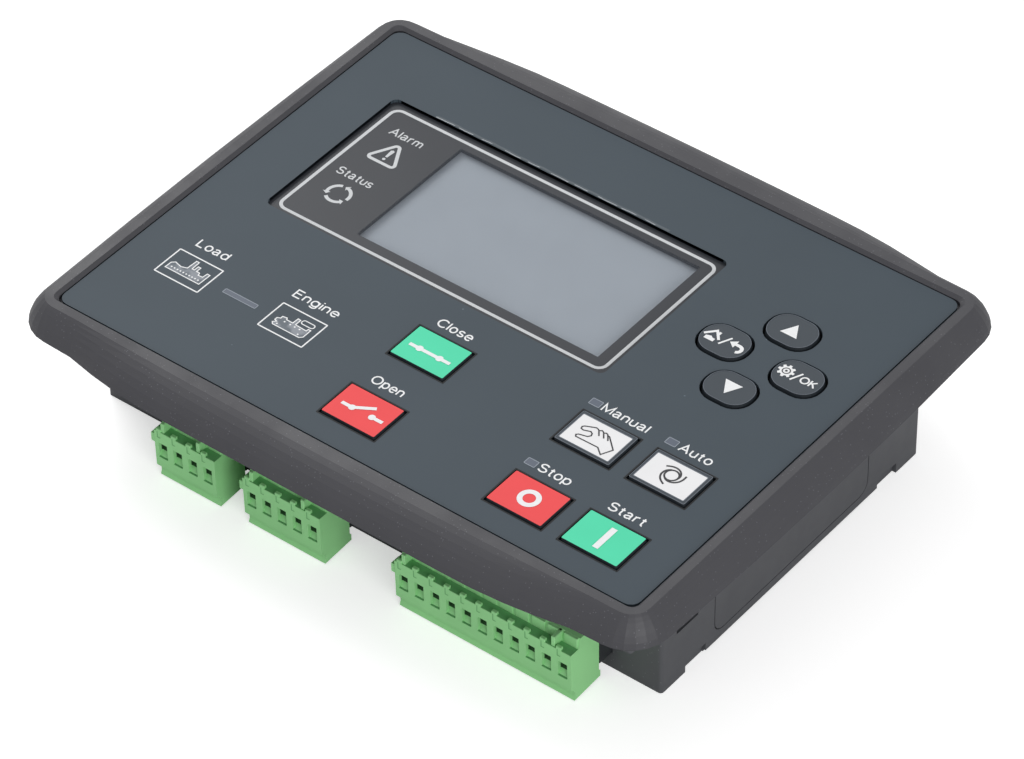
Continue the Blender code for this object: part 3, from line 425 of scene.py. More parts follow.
def clear_window_surface():
    """Clear plastic: mostly see-through, with a gloss."""
    made = Surface("clear_window", WINDOW_GREY, roughness=0.12, specular=0.25)
    made.mottle(scale=30, amount=0.02)
    made.grain(scale=60, strength=0.02, distance=0.02)
    made.shader.inputs["Alpha"].default_value = WINDOW_ALPHA
    return made.material


def paint(node, material):
    """Gives a CAD node its material."""
    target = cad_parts[node]
    target.data.materials.clear()
    target.data.materials.append(material)


def new_piece(name, bm, material, body=UNIT, smooth=False):
    """Makes a mesh in millimetres into a piece that rides on a body."""
    bmesh.ops.scale(bm, vec=(MM, MM, MM), verts=bm.verts)
    mesh = bpy.data.meshes.new(name)
    bm.to_mesh(mesh)
    bm.free()
    made = bpy.data.objects.new(name, mesh)
    bpy.context.scene.collection.objects.link(made)
    mesh.materials.append(material)
    if smooth:
        mesh.shade_smooth()
    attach(made, body)
    return made


def flat_piece(name, outline, level, material, body=UNIT):
    """A piece of one flat face."""
    bm = bmesh.new()
    patch(bm, outline, level)
    new_piece(name, bm, material, body)


def line_piece(name, outline, width, level, material, body=UNIT):
    """A piece of one closed line."""
    bm = bmesh.new()
    ribbon(bm, outline, width, level, closed=True)
    new_piece(name, bm, material, body)


def shifted(points, place):
    return [(x + place[0], y + place[1]) for x, y in points]


def patch(bm, outline, level):
    """A flat face with the given outline."""
    bm.faces.new([bm.verts.new((x, y, level)) for x, y in outline])


def ribbon(bm, points, width, level, closed=False):
    """A flat line of even width with mitred corners."""
    path = [Vector(point) for point in points]
    count = len(path)
    pairs = []
    for i, here in enumerate(path):
        ways = []
        if closed or i > 0:
            ways.append((here - path[i - 1]).normalized())
        if closed or i < count - 1:
            ways.append((path[(i + 1) % count] - here).normalized())
        along = sum(ways, Vector((0.0, 0.0))).normalized()
        across = Vector((-along.y, along.x))
        mitre = abs(across.dot(Vector((-ways[0].y, ways[0].x))))
        reach = width / 2 / max(MITRE_LIMIT, mitre)
        sides = [here + across * reach, here - across * reach]
        pairs.append([bm.verts.new((side.x, side.y, level)) for side in sides])
    for i in range(count if closed else count - 1):
        left, right = pairs[i]
        next_left, next_right = pairs[(i + 1) % count]
        bm.faces.new((left, right, next_right, next_left))


def bow(x, y, rx, ry, start=0, end=360, steps=20):
    """Points along an oval's arc, with angles in degrees."""
    angles = [radians(start + (end - start) * i / steps) for i in range(steps + 1)]
    return [(x + rx * cos(a), y + ry * sin(a)) for a in angles]


def arc(centre, radius, start, end, steps):
    """Points along a circle's arc, with angles in degrees."""
    return bow(centre[0], centre[1], radius, radius, start, end, steps)


def circle(centre, radius, steps):
    return arc(centre, radius, 0, 360 - 360 / steps, steps - 1)


def disc(bm, centre, radius, level, steps=24):
    patch(bm, circle(centre, radius, steps), level)


def ring(bm, centre, radius, width, level):
    ribbon(bm, circle(centre, radius, 40), width, level, closed=True)


def rounded_box(centre, size, radius, steps=6):
    """Corner points of a rectangle with round corners."""
    half = (size[0] / 2 - radius, size[1] / 2 - radius)
    points = []
    for i, (sx, sy) in enumerate(((1, 1), (-1, 1), (-1, -1), (1, -1))):
        place = (centre[0] + sx * half[0], centre[1] + sy * half[1])
        points += arc(place, radius, 90 * i, 90 * (i + 1), steps)
    return points


def box_outline(left, low, right, high):
    return [(left, low), (right, low), (right, high), (left, high)]


SMALL = 0.73             # height of a small letter, as a share of a capital
OVAL = bow(0.26, 0.365, 0.26, 0.365)[:-1]
CLOSED_FIRST = "Oodgp"   # letters whose first stroke closes on itself

# Letters as strokes on a capital's height of 1
LETTERS = {
    "A": [[(0, 0), (0.36, 1), (0.72, 0)], [(0.12, 0.33), (0.60, 0.33)]],
    "C": [bow(0.40, 0.5, 0.40, 0.5, 42, 318)],
    "E": [[(0.54, 1), (0, 1), (0, 0), (0.56, 0)], [(0, 0.53), (0.50, 0.53)]],
    "K": [[(0, 0), (0, 1)], [(0.58, 1), (0, 0.40)], [(0.20, 0.60), (0.62, 0)]],
    "L": [[(0, 1), (0, 0), (0.50, 0)]],
    "M": [[(0, 0), (0, 1), (0.38, 0.12), (0.76, 1), (0.76, 0)]],
    "O": [bow(0.42, 0.5, 0.42, 0.5)[:-1]],
    "S": [bow(0.31, 0.75, 0.28, 0.25, 25, 250, 12) + bow(0.31, 0.26, 0.31, 0.26, 75, -160, 12)],
    "a": [
        bow(0.24, 0.53, 0.20, 0.20, 165, 0, 10) + [(0.44, 0.12), (0.52, 0.0)],
        [(0.44, 0.42), (0.20, 0.37), (0.03, 0.27), (0.02, 0.12), (0.14, 0.0), (0.32, 0.03),
         (0.44, 0.17)],
    ],
    "d": [OVAL, [(0.52, 1), (0.52, 0)]],
    "e": [[(0.02, 0.38)] + bow(0.26, 0.365, 0.26, 0.365, 2, 318)],
    "g": [OVAL, [(0.52, SMALL), (0.52, 0.0)] + bow(0.27, -0.03, 0.25, 0.24, 0, -150, 8)],
    "i": [[(0, 0), (0, SMALL)], [(0, 0.90), (0, 1.02)]],
    "l": [[(0, 0), (0, 1)]],
    "m": [
        [(0, 0), (0, SMALL)],
        bow(0.19, 0.50, 0.19, 0.23, 180, 0, 8) + [(0.38, 0)],
        bow(0.57, 0.50, 0.19, 0.23, 180, 0, 8) + [(0.76, 0)],
    ],
    "n": [[(0, 0), (0, SMALL)], bow(0.23, 0.48, 0.23, 0.25, 180, 0, 8) + [(0.46, 0)]],
    "o": [OVAL],
    "p": [OVAL, [(0, SMALL), (0, -0.28)]],
    "r": [[(0, 0), (0, SMALL)], bow(0.25, 0.45, 0.25, 0.28, 180, 80, 8)],
    "s": [bow(0.22, 0.54, 0.20, 0.19, 25, 250, 10) + bow(0.22, 0.18, 0.22, 0.18, 75, -160, 10)],
    "t": [[(0.14, 0.94)] + bow(0.26, 0.14, 0.12, 0.14, 180, 290, 6), [(0, 0.70), (0.30, 0.70)]],
    "u": [[(0, SMALL)] + bow(0.23, 0.25, 0.23, 0.25, 180, 360, 8), [(0.46, SMALL), (0.46, 0)]],
}


def label(name, words, left, base, right, height, level, material, body=UNIT, weight=LETTER_STROKE):
    """Words drawn in strokes of even width between two ends on a baseline."""
    strokes = []
    pen = 0.0
    for letter in words:
        drawn = LETTERS[letter]
        xs = [x for stroke in drawn for x, y in stroke]
        for i, stroke in enumerate(drawn):
            closed = i == 0 and letter in CLOSED_FIRST
            strokes.append(([(pen + x - min(xs), y) for x, y in stroke], closed, i))
        pen += max(xs) - min(xs) + LETTER_GAP
    wide = (right - left - weight) / (pen - LETTER_GAP)
    tall = height - weight
    bm = bmesh.new()
    for points, closed, order in strokes:
        path = [(left + weight / 2 + x * wide, base + weight / 2 + y * tall) for x, y in points]
        ribbon(bm, path, weight, level + order * STROKE_STEP, closed)
    new_piece(name, bm, material, body)


def dress_cad_nodes():
    """Materials for the CAD nodes that stay as they are."""
    paint("front_frame", moulded_surface("frame_plastic", BEZEL_GREY))
    paint("overlay", film_surface())
    paint("lcd_frame", steel_surface("lcd_steel", LCD_STEEL, 0.3))
    housing = moulded_surface("housing_plastic", HOUSING_GREY)
    for node in ("rear_housing", "side_cover_right", "side_cover_left"):
        paint(node, housing)
    gasket = moulded_surface("gasket_foam", GASKET_BLACK, 0.85, grain_scale=900, grain_strength=0.8)
    paint("panel_gasket", gasket)
    paint("keypad_mat", moulded_surface("mat_rubber", GAP_BLACK, 0.8))
    paint("board_link", moulded_surface("link_plastic", GAP_BLACK))
    paint("main_board", board_surface("main_laminate"))
    paint("terminal_board", board_surface("terminal_laminate"))
    screw = steel_surface("screw_steel", SCREW_STEEL, 0.35)
    for i in range(1, 5):
        paint(f"case_screw_{i}", screw)
        paint(f"board_screw_{i}", screw)
    lamp = cap_surface("light_guide", LAMP_GREY, 0.3)
    for node in ("light_manual", "light_auto", "light_stop", "light_load"):
        paint(node, lamp)
    paint("lcd_panel", cap_surface("lcd_glass", LCD_GREY, 0.25))


def add_face_prints():
    """Words, icons and the small light windows on the overlay."""
    white = ink_surface("white_print", PRINT_WHITE)
    level = FACE + INK
    for key, (words, left, base, right) in FACE_WORDS.items():
        label(f"words_{key}", words, left, base, right, LETTER_HEIGHT, level, white)

    fill = blotched_surface("icon_fill", ICON_FILL, ICON_FILL_PALE)
    icons = (("load", LOAD_ICON_PLACE, factory_icon), ("engine", ENGINE_ICON_PLACE, engine_icon))
    for key, place, draw in icons:
        bodies, lines, dots = draw()
        bm = bmesh.new()
        ribbon(bm, rounded_box(place, ICON_FRAME, ICON_CORNER, 2), ICON_STROKE, level, closed=True)
        for outline in bodies + lines:
            ribbon(bm, shifted(outline, place), ICON_LINE, level + INK / 2, closed=True)
        for dot in shifted(dots, place):
            disc(bm, dot, ICON_DOT, level + INK / 2, 10)
        new_piece(f"{key}_icon", bm, white)
        bm = bmesh.new()
        for outline in bodies:
            patch(bm, shifted(outline, place), level)
        new_piece(f"{key}_icon_fill", bm, fill)

    lamp = cap_surface("lamp_window", LAMP_GREY, 0.3)
    edge = ink_surface("lamp_edge", LAMP_EDGE)
    windows = [(f"lamp_{key}", place, LAMP_SIZE) for key, place in LAMP_PLACES.items()]
    windows.append(("lamp_load", LOAD_LAMP_PLACE, LOAD_LAMP_SIZE))
    for name, place, size in windows:
        outline = rounded_box(place, size, LAMP_CORNER, 2)
        flat_piece(name, outline, level, lamp)
        line_piece(f"{name}_edge", outline, LAMP_STROKE, level + INK / 2, edge)


def factory_icon():
    """A works with three chimneys: filled outlines, other lines and dots."""
    works = [
        (-5.9, -2.6), (5.6, -2.6), (5.7, 1.8), (4.8, 1.8), (4.6, 0.1), (3.2, 0.0), (2.9, 0.9),
        (1.9, 0.9), (1.9, 2.6), (1.1, 2.6), (1.0, 1.0), (0.3, 1.0), (0.2, 4.0), (-0.7, 4.0),
        (-0.9, 0.5), (-2.6, -0.1), (-4.2, 0.3), (-4.9, 0.5), (-5.8, -0.3),
    ]
    windows = [(-4.6 + i, -1.5) for i in range(10)]
    return [works], [], windows


def engine_icon():
    """An engine with its silencer: filled outlines, other lines and dots."""
    engine = [
        (-4.4, -2.8), (4.4, -2.8), (5.2, -2.0), (5.2, 1.1), (4.4, 1.1), (4.3, 0.3), (0.6, 0.5),
        (0.6, 2.6), (-0.3, 2.7), (-0.4, 0.6), (-2.4, 0.6), (-2.8, 1.2), (-4.1, 1.0), (-4.1, 0.2),
        (-5.0, -0.2), (-5.0, -1.1), (-4.2, -1.4), (-5.0, -2.1),
    ]
    silencer = rounded_box((3.2, 2.5), (4.0, 1.5), 0.7, 4)
    dots = [(-2.4, -0.3), (-0.5, -0.3), (1.0, -0.3), (2.6, -0.3), (-3.6, -2.0), (3.4, -2.0)]
    return [engine], [silencer], dots


def body_of(node):
    """Name of the body that a key's node moves with."""
    return node.replace("key_", "") + "_key"


def key_label(node, outline, material, lift=1.0, tag="label"):
    """A flat label on a key's top, which travels with the key."""
    place = shifted(outline, middle(node))
    flat_piece(f"{node}_{tag}", place, KEY_TOP + lift * INK, material, body_of(node))


def key_rim(node, outline, material, width, tag="rim"):
    """A line round a label."""
    place = shifted(outline, middle(node))
    line_piece(f"{node}_{tag}", place, width, KEY_TOP + RIM_LIFT * INK, material, body_of(node))


def add_keys():
    """Dark key bodies with coloured labels and their signs."""
    side = cap_surface("key_side", KEY_SIDE, 0.5)
    for node in GREEN_KEYS + RED_KEYS + WHITE_KEYS + ROUND_KEYS:
        paint(node, side)
    wide = rounded_box((0, 0), WIDE_LABEL, LABEL_CORNER, 4)
    pale = rounded_box(PALE_SHIFT, PALE_LABEL, LABEL_CORNER, 3)
    oval = rounded_box((0, 0), ROUND_LABEL, ROUND_CORNER, 10)
    green = cap_surface("key_green", KEY_GREEN)
    red = cap_surface("key_red", KEY_RED)
    white = cap_surface("key_white", KEY_WHITE)
    slate = cap_surface("key_slate", KEY_SLATE, 0.5)
    edge = ink_surface("label_edge", LABEL_EDGE)
    for node in GREEN_KEYS:
        key_label(node, wide, green)
    for node in RED_KEYS:
        key_label(node, wide, red)
    well = ink_surface("key_well", GAP_BLACK)
    for node in GREEN_KEYS + RED_KEYS + WHITE_KEYS:
        outline = shifted(rounded_box((0, 0), KEY_WELL, WELL_CORNER, 1), middle(node))
        line_piece(f"{node}_well", outline, WELL_STROKE, FACE + INK / 2, well)
    for node in WHITE_KEYS:
        key_label(node, wide, slate, tag="border")
        key_label(node, pale, white, PALE_LIFT)
        key_rim(node, pale, edge, PALE_RIM)
        key_rim(node, wide, edge, WIDE_RIM, "outer_rim")
    for node in ROUND_KEYS:
        key_label(node, oval, slate)
        key_rim(node, oval, edge, ROUND_RIM)
    add_key_signs()


def add_key_signs():
    """The ten signs, and the hub and the letters of the confirm key."""
    white = ink_surface("key_sign_white", PRINT_WHITE)
    dark = ink_surface("key_sign_grey", ICON_GREY)
    level = KEY_TOP + SIGN_LIFT * INK
    signs = {
        "key_stop": (stop_sign, white),
        "key_start": (start_sign, white),
        "key_close": (closed_breaker_sign, white),
        "key_open": (open_breaker_sign, white),
        "key_auto": (auto_sign, dark),
        "key_manual": (hand_sign, dark),
        "key_up": (up_sign, white),
        "key_down": (down_sign, white),
        "key_home": (home_sign, white),
        "key_confirm": (gear_sign, white),
    }
    for node, (draw, material) in signs.items():
        bm = bmesh.new()
        draw(bm, level)
        centre = middle(node)
        bmesh.ops.translate(bm, vec=(centre.x, centre.y, 0), verts=bm.verts)
        new_piece(f"{node}_sign", bm, material, body_of(node))

    confirm = middle("key_confirm")
    body = body_of("key_confirm")
    hub = (confirm.x + GEAR_PLACE[0], confirm.y + GEAR_PLACE[1])
    bm = bmesh.new()
    ring(bm, hub, radius=1.05, width=0.3, level=level + INK)
    disc(bm, hub, radius=0.36, level=level + INK, steps=12)
    new_piece("key_confirm_hub", bm, dark, body)
    left, base = confirm.x + OK_PLACE[0], confirm.y + OK_PLACE[1]
    label("words_confirm", "OK", left, base, left + OK_SIZE[0], OK_SIZE[1], level, white, body)


def stop_sign(bm, level):
    ring(bm, (0.25, 0.0), radius=2.43, width=1.45, level=level)


def start_sign(bm, level):
    patch(bm, box_outline(-0.55, -4.1, 1.2, 4.2), level)


def closed_breaker_sign(bm, level):
    """A bar with two dots."""
    patch(bm, box_outline(-6.5, -1.3, 6.7, -0.2), level)
    for x in (-3.2, 3.3):
        disc(bm, (x, -0.75), 1.05, level + STROKE_STEP)


def open_breaker_sign(bm, level):
    """Two short bars with dots, and a raised blade between them."""
    patch(bm, box_outline(-6.2, -1.4, -2.8, -0.3), level)
    patch(bm, box_outline(3.6, -1.3, 7.0, -0.2), level)
    disc(bm, (-2.8, -0.85), 1.0, level + STROKE_STEP)
    disc(bm, (3.6, -0.75), 1.0, level + STROKE_STEP)
    ribbon(bm, [(-2.8, -0.85), (2.6, 2.45)], 1.1, level + 2 * STROKE_STEP)


def auto_sign(bm, level):
    """A ring with three trailing arms."""
    centre = (-0.1, 0.45)
    stroke, reach, closing, sweep, steps = 0.5, 3.75, 1.8, 150, 14
    ring(bm, centre, radius=1.9, width=stroke, level=level)
    for start in (148, 30, 272):
        arm = []
        for i in range(steps + 1):
            share = i / steps
            angle = radians(start - sweep * share)
            radius = reach - closing * share ** 0.7
            arm.append((centre[0] + radius * cos(angle), centre[1] + radius * sin(angle)))
        ribbon(bm, arm, stroke, level + STROKE_STEP)


def hand_sign(bm, level):
    """Outline of a hand that points to the left."""
    hand = [
        (-5.3, 1.2), (-4.9, 1.7), (-2.1, 3.0), (-1.4, 2.8), (-1.0, 2.5), (-0.3, 3.0), (0.2, 2.8),
        (0.5, 2.5), (1.1, 2.9), (1.6, 2.7), (1.9, 2.4), (2.5, 2.3), (6.2, -1.1), (4.6, -4.3),
        (2.5, -2.6), (-4.4, -2.7), (-4.8, -2.1), (-4.3, -1.6), (-2.0, -1.0), (-1.4, -0.2),
        (-1.7, 0.6), (-2.4, 1.0), (-4.3, 0.3), (-5.1, 0.5),
    ]
    ribbon(bm, hand, HAND_STROKE, level, closed=True)
    for x, y in ((-1.0, 2.5), (0.5, 2.5), (1.9, 2.4)):
        ribbon(bm, [(x, y), (x + 1.2, y - 1.6)], HAND_STROKE, level + STROKE_STEP)


def up_sign(bm, level):
    patch(bm, [(-2.6, -2.0), (2.6, -2.0), (0.0, 2.7)], level)


def down_sign(bm, level):
    patch(bm, [(-2.75, 2.2), (0.0, -2.6), (2.6, 2.2)], level)


def home_sign(bm, level):
    """A house, a stroke and a returning arrow."""
    ribbon(bm, [(-6.2, -0.7), (-3.8, 2.0), (-1.5, -0.75)], 0.75, level)
    patch(bm, box_outline(-3.0, 0.9, -2.3, 2.0), level + STROKE_STEP)
    house = [(-5.3, -2.2), (-2.4, -2.2), (-2.4, -1.0), (-3.2, -1.0), (-3.9, -0.5), (-5.3, -1.0)]
    patch(bm, house, level + 2 * STROKE_STEP)
    ribbon(bm, [(-0.8, -1.9), (1.0, 1.95)], SLASH_STROKE, level)
    patch(bm, [(1.2, 0.55), (3.1, -0.9), (3.1, 2.0)], level)
    bend = arc((4.3, -0.7), 1.25, 90, -80, 12)
    ribbon(bm, [(2.8, 0.55)] + bend, 1.0, level + STROKE_STEP)


def gear_sign(bm, level):
    """A toothed wheel and a stroke."""
    teeth = 8
    wheel = []
    for i in range(teeth):
        for radius, turn in ((1.8, -14), (2.4, -9), (2.4, 9), (1.8, 14)):
            way = radians(360 / teeth * i + turn)
            wheel.append((radius * cos(way), radius * sin(way)))
    patch(bm, shifted(wheel, GEAR_PLACE), level)
    ribbon(bm, [(-1.3, -1.9), (0.4, 1.85)], SLASH_STROKE, level)


def add_display():
    """Lens with its print, and the pale field of the display under it."""
    low, high = corners("display_lens")
    centre = middle("lcd_panel") + Vector((*FIELD_SHIFT, 0.0))
    add_lens(low, high, centre)

    field = [side + 2 * FIELD_MARGIN for side in LCD_FIELD]
    outline = rounded_box(centre, field, FIELD_CORNER, 2)
    glass = cap_surface("display_field", LCD_GREY, roughness=0.4, specular=0.1)
    flat_piece("display_field", outline, LENS_TOP - FIELD_DEPTH, glass)

    silver = ink_surface("silver_print", PRINT_SILVER)
    level = LENS_TOP + INK
    place = middle("display_lens") + Vector((*SILVER_SHIFT, 0.0))
    outline = rounded_box(place, SILVER_SIZE, SILVER_CORNER)
    line_piece("display_outline", outline, SILVER_STROKE, level, silver)
    add_lens_signs(low, level, silver)
    for words, left, base, right in LENS_WORDS:
        label(f"words_{words.lower()}", words, low.x + left, low.y + base, low.x + right,
              LENS_LETTER_HEIGHT, level, silver, weight=LENS_LETTER_STROKE)
    add_recess_shade(low, high)
    add_film_curl(low, high)


def add_lens(low, high, centre):
    """Printed lens with a clear window in it."""
    left, right = centre.x - LCD_FIELD[0] / 2, centre.x + LCD_FIELD[0] / 2
    near, far = centre.y - LCD_FIELD[1] / 2, centre.y + LCD_FIELD[1] / 2
    xs = (low.x, left, right, high.x)
    ys = (low.y, near, far, high.y)
    bm = bmesh.new()
    grid = [[bm.verts.new((x, y, LENS_TOP)) for x in xs] for y in ys]
    for j in range(3):
        for i in range(3):
            face = bm.faces.new((grid[j][i], grid[j][i + 1], grid[j + 1][i + 1], grid[j + 1][i]))
            face.material_index = 1 if i == 1 and j == 1 else 0
    lens = new_piece("lens_window", bm, printed_surface())
    lens.data.materials.append(clear_window_surface())
    thick = lens.modifiers.new("thickness", "SOLIDIFY")
    thick.thickness = (high.z - low.z) * MM
    thick.offset = -1.0
    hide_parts("display_lens")


def add_lens_signs(low, level, silver):
    """A warning triangle, and a ring of three arrows."""
    sign = Vector((low.x + ALARM_PLACE[0], low.y + ALARM_PLACE[1]))
    triangle = []
    for angle in (90, 210, 330):
        way = radians(angle)
        tip = (sign.x + ALARM_REACH[0] * cos(way), sign.y + ALARM_REACH[1] * sin(way))
        triangle += arc(tip, ALARM_CORNER, angle - 60, angle + 60, 6)
    bm = bmesh.new()
    ribbon(bm, triangle, LENS_SIGN_STROKE, level, closed=True)
    mark = [(-0.62, 2.6), (-0.35, -0.3), (0.35, -0.3), (0.62, 2.6), (0.0, 3.1)]
    patch(bm, shifted(mark, sign), level)
    disc(bm, (sign.x, sign.y - 1.25), 0.48, level)
    new_piece("alarm_sign", bm, silver)

    sign = Vector((low.x + STATUS_PLACE[0], low.y + STATUS_PLACE[1]))
    bm = bmesh.new()
    for start in (75, 195, 315):
        bend = arc(sign, STATUS_RADIUS, start - STATUS_SWEEP, start, 10)
        ribbon(bm, bend, LENS_SIGN_STROKE, level)
        foot, tip = [Vector(p) for p in arc(sign, STATUS_RADIUS, start, start + ARROW_SWEEP, 1)]
        out = (foot - sign).normalized() * ARROW_HALF
        patch(bm, [foot + out, foot - out, tip], level + STROKE_STEP)
    new_piece("status_sign", bm, silver)


def add_recess_shade(low, high):
    """A dark sheet on the wall of the window's recess: painted shade of the recess."""
    outline = rounded_box((low + high) / 2, (high.x - low.x, high.y - low.y), WINDOW_CORNER)
    bm = bmesh.new()
    foot = [bm.verts.new((x, y, LENS_TOP + WALL_FOOT)) for x, y in outline]
    head = [bm.verts.new((x, y, FACE - WALL_HEAD)) for x, y in outline]
    for i in range(len(outline)):
        after = (i + 1) % len(outline)
        bm.faces.new((foot[after], foot[i], head[i], head[after]))
    new_piece("recess_shade", bm, cap_surface("recess_shade", RECESS_SHADE_BLACK, 0.3, 0.3))


def add_film_curl(low, high):
    """The film's curled edge along the far side of the window, and the glints on it."""
    start, end = low.x + CURL_START, high.x - CURL_END
    path = []
    for i in range(CURL_STEPS + 1):
        share = i / CURL_STEPS
        wave = CURL_MEAN
        for size, rate, phase in CURL_WAVES:
            wave += size * sin(share * rate + phase)
        fade = sin(pi * min(1.0, share * CURL_FADE, (1 - share) * CURL_FADE) / 2)
        path.append((start + (end - start) * share, wave * fade))
    bm = bmesh.new()
    rows = []
    for out, spread, rise in CURL_ROWS:
        row = [
            (x, high.y + out + spread * curl, FACE + CURL_LEVEL + rise * (1 + curl))
            for x, curl in path
        ]
        rows.append([bm.verts.new(point) for point in row])
    for near, far in zip(rows, rows[1:]):
        for i in range(CURL_STEPS):
            bm.faces.new((near[i], near[i + 1], far[i + 1], far[i]))
    film = bpy.data.materials["overlay_film"]
    new_piece("film_curl", bm, film, smooth=True)

    bm = bmesh.new()
    line = [(x, high.y + GLINT_PLACE + CURL_SPREAD * curl) for x, curl in path]
    for i in range(0, CURL_STEPS, GLINT_PITCH):
        dash = GLINT_PITCH - 2 - (i * 5) % 7
        ribbon(bm, line[i:i + dash], GLINT_STROKE, FACE + GLINT_RISE)
    new_piece("film_glints", bm, cap_surface("film_glint", GLINT_WHITE, 0.2, 0.5))


def upright(bm, outline, depth):
    """A flat face that looks towards the wires: the outline is (x, z)."""
    bm.faces.new([bm.verts.new((x, depth, z)) for x, z in outline])


def block(bm, origin, ends):
    """A bevelled block between two corners that are counted from an origin."""
    low, high = [[a + b for a, b in zip(origin, end)] for end in ends]
    made = bmesh.ops.create_cube(bm, size=1.0)["verts"]
    bmesh.ops.scale(bm, vec=[b - a for a, b in zip(low, high)], verts=made)
    bmesh.ops.translate(bm, vec=[(a + b) / 2 for a, b in zip(low, high)], verts=made)
    edges = {edge for vert in made for edge in vert.link_edges}
    bmesh.ops.bevel(bm, geom=list(edges), offset=BLOCK_BEVEL, segments=1, affect="EDGES")


def add_plugs():
    """Plug colours, painted shade in the throat behind each wire ramp, painted shade lines and a
    painted shade strip, and the small forms of each plug.
    """
    green = plug_surface("plug_green", PLUG_GREEN)
    shade = plug_surface("plug_painted_shade", PLUG_PAINTED_SHADE)
    header = plug_surface("header_plastic", HEADER_GREY)
    dark = cap_surface("plug_throat_shade", THROAT_SHADE_GREEN, 0.5)
    for poles in (11, 5, 4):
        node = f"plug_{poles}_pole"
        paint(f"header_{poles}_pole", header)
        low, high = corners(node)
        add_plug_body(node, low, green)
        last = high.x - PLUG_END - PITCH / 2
        places = [last - PITCH * i for i in range(poles)][::-1]
        top = low.z + SHOULDER
        throat_shades = bmesh.new()
        shade_lines = bmesh.new()
        tabs = bmesh.new()
        for x in places:
            # Painted shade in the hole at the head of the wire ramp, and painted shadow on its wall
            add_throat_shade(throat_shades, x, low)
            # Painted shadow along the foot of each wire window, and a painted shade line beside
            # each tab
            ledge = box_outline(x - WIRE_HALF, low.y, x + WIRE_HALF, low.y + WIRE_LEDGE)
            patch(shade_lines, ledge, low.z + WIRE_BOTTOM + 2 * FACE_GAP)
            upright(shade_lines, [(x + a, top + b) for a, b in SEAM_SHADE], low.y - FACE_GAP / 2)
            block(tabs, (x, low.y, top), TAB)
            block(tabs, (x, low.y, top), RIDGE)
        # Painted shade strip along the shoulder, where the bezel shades the plugs
        near, far = [low.y + depth for depth in STRIP_DEPTHS]
        strip = box_outline(low.x + STRIP_ENDS[0], near, high.x - STRIP_ENDS[1], far)
        patch(shade_lines, strip, top + INK)
        for x in (places[0], places[-1] - RIB_PLACE * PITCH):
            block(tabs, (x, low.y, top), RIB)
        new_piece(f"plug_{poles}_throats", throat_shades, dark)
        new_piece(f"plug_{poles}_grooves", shade_lines, shade)
        new_piece(f"plug_{poles}_tabs", tabs, green)


def add_plug_body(node, low, material):
    """The plug with its front step lowered, as the photograph shows it."""
    bm = bmesh.new()
    bm.from_mesh(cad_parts[node].data)
    bmesh.ops.scale(bm, vec=(1 / MM, 1 / MM, 1 / MM), verts=bm.verts)
    for vert in bm.verts:
        if vert.co.y < low.y + STEP_BACK and vert.co.z > low.z + SHOULDER:
            vert.co.z -= STEP_DROP
    body = new_piece(f"{node}_body", bm, material)
    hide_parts(node)


def add_throat_shade(bm, x, low):
    """Painted shade: a dark patch for the hole at the head of the wire ramp, and a painted shadow
    on the wall beside it.
    """
    ends = (THROAT_START, THROAT_END)
    near, far = [(low.y + depth, low.z + level + 3 * FACE_GAP) for depth, level in ends]
    left, right = x - WIRE_HALF, x + WIRE_HALF
    across = [(left, *near), (right, *near), (right, *far), (left, *far)]
    bm.faces.new([bm.verts.new(point) for point in across])
    edge = low.y + WALL_SHADE_START[0]
    foot, top = low.z + WALL_SHADE_START[1], low.z + WIRE_TOP
    wall = [(edge, foot), near, far, (far[0], top), (edge, top)]
    bm.faces.new([bm.verts.new((left + FACE_GAP, y, z)) for y, z in wall])


def add_studio():
    """Pale floor and surround, a soft lamp behind on the left and one in front on the right."""
    add_floor()
    add_air()
    add_lamp("back_softbox", *BACK_LAMP)
    add_lamp("front_softbox", *FRONT_LAMP)


def add_floor():
    """Matt floor that shows pale to the camera and takes the object's shadow."""
    bm = bmesh.new()
    patch(bm, box_outline(-FLOOR_REACH, -FLOOR_REACH, FLOOR_REACH, FLOOR_REACH), FLOOR_LEVEL)
    bmesh.ops.scale(bm, vec=(MM, MM, MM), verts=bm.verts)
    mesh = bpy.data.meshes.new("studio_floor")
    bm.to_mesh(mesh)
    bm.free()
    floor = bpy.data.objects.new("studio_floor", mesh)
    bpy.context.scene.collection.objects.link(floor)
    paper = bpy.data.materials.new("floor_paper")
    paper.use_nodes = True
    nodes = paper.node_tree.nodes
    links = paper.node_tree.links
    shader = nodes["Principled BSDF"]
    shader.inputs["Base Color"].default_value = (FLOOR_PAPER, FLOOR_PAPER, FLOOR_PAPER, 1.0)
    shader.inputs["Roughness"].default_value = 0.9
    shader.inputs["Specular IOR Level"].default_value = 0.0
    shader.inputs["Emission Color"].default_value = (1.0, 1.0, 1.0, 1.0)
    rays = nodes.new("ShaderNodeLightPath")
    glow = nodes.new("ShaderNodeMath")
    glow.operation = "MULTIPLY"
    glow.inputs[1].default_value = FLOOR_GLOW
    links.new(rays.outputs["Is Camera Ray"], glow.inputs[0])
    links.new(glow.outputs["Value"], shader.inputs["Emission Strength"])
    mesh.materials.append(paper)


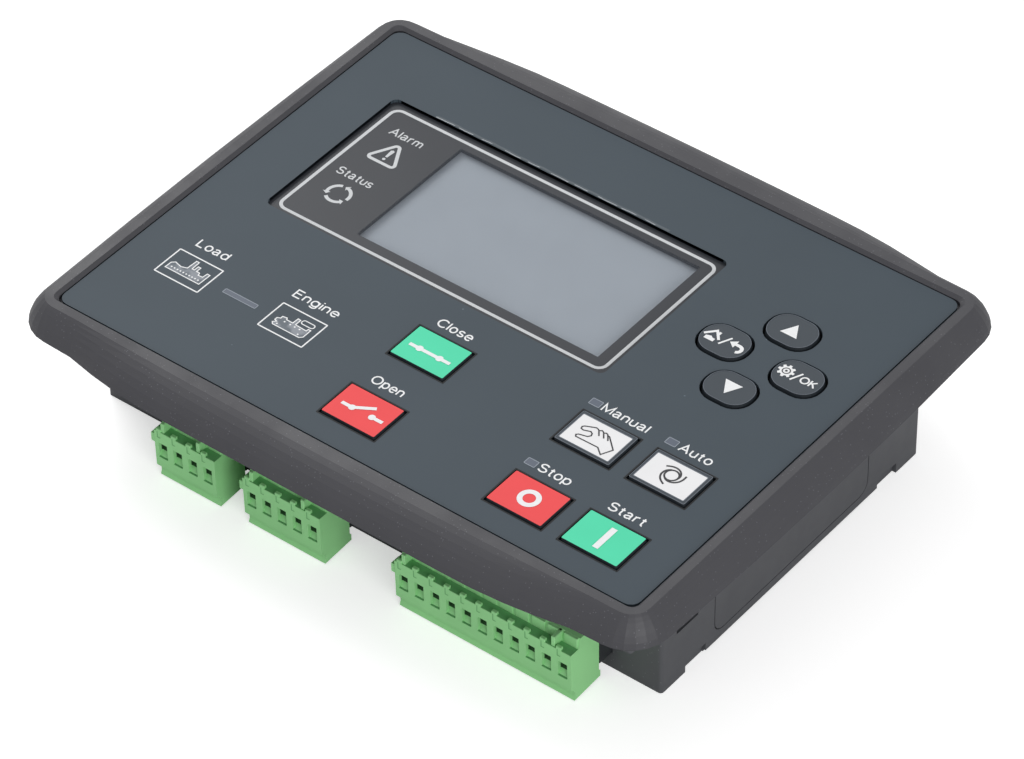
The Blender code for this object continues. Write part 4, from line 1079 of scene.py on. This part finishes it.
def add_air():
    """Surround that the camera and gloss see white, and that lights the object less."""
    world = bpy.data.worlds.new("studio_air")
    bpy.context.scene.world = world
    world.use_nodes = True
    nodes = world.node_tree.nodes
    links = world.node_tree.links
    rays = nodes.new("ShaderNodeLightPath")
    seen = nodes.new("ShaderNodeMath")
    seen.operation = "MAXIMUM"
    links.new(rays.outputs["Is Camera Ray"], seen.inputs[0])
    links.new(rays.outputs["Is Glossy Ray"], seen.inputs[1])
    strength = nodes.new("ShaderNodeMapRange")
    strength.inputs["To Min"].default_value = AIR_ON_OBJECT
    strength.inputs["To Max"].default_value = AIR_SEEN
    links.new(seen.outputs["Value"], strength.inputs["Value"])
    air = nodes["Background"]
    air.inputs["Color"].default_value = (1.0, 1.0, 1.0, 1.0)
    links.new(strength.outputs["Result"], air.inputs["Strength"])


def add_lamp(name, place, size, power):
    """A soft lamp that looks at the object."""
    light = bpy.data.lights.new(name, "AREA")
    light.shape = "RECTANGLE"
    light.size, light.size_y = size
    light.energy = power
    lamp = bpy.data.objects.new(name, light)
    lamp.location = place
    lamp.rotation_euler = (-Vector(place)).to_track_quat("-Z", "Y").to_euler()
    bpy.context.scene.collection.objects.link(lamp)


def add_camera():
    data = bpy.data.cameras.new("photo_camera")
    data.lens = CAMERA_LENS
    data.sensor_width = SENSOR_WIDTH
    data.sensor_fit = "HORIZONTAL"
    data.clip_end = CAMERA_REACH * MM
    camera = bpy.data.objects.new("photo_camera", data)
    aim = Euler((radians(90 - CAMERA_ELEVATION), 0.0, radians(CAMERA_AZIMUTH))).to_matrix()
    turn = aim @ Matrix.Rotation(radians(CAMERA_ROLL), 3, "Z")
    place = Vector(CAMERA_PLACE) + Vector((0.0, 0.0, FACE))
    camera.matrix_world = Matrix.Translation(place * MM) @ turn.to_4x4()
    bpy.context.scene.collection.objects.link(camera)
    bpy.context.scene.camera = camera


bpy.context.scene.view_settings.view_transform = "Standard"
add_camera()
dress_cad_nodes()
add_face_prints()
add_keys()
add_display()
add_plugs()
add_studio()
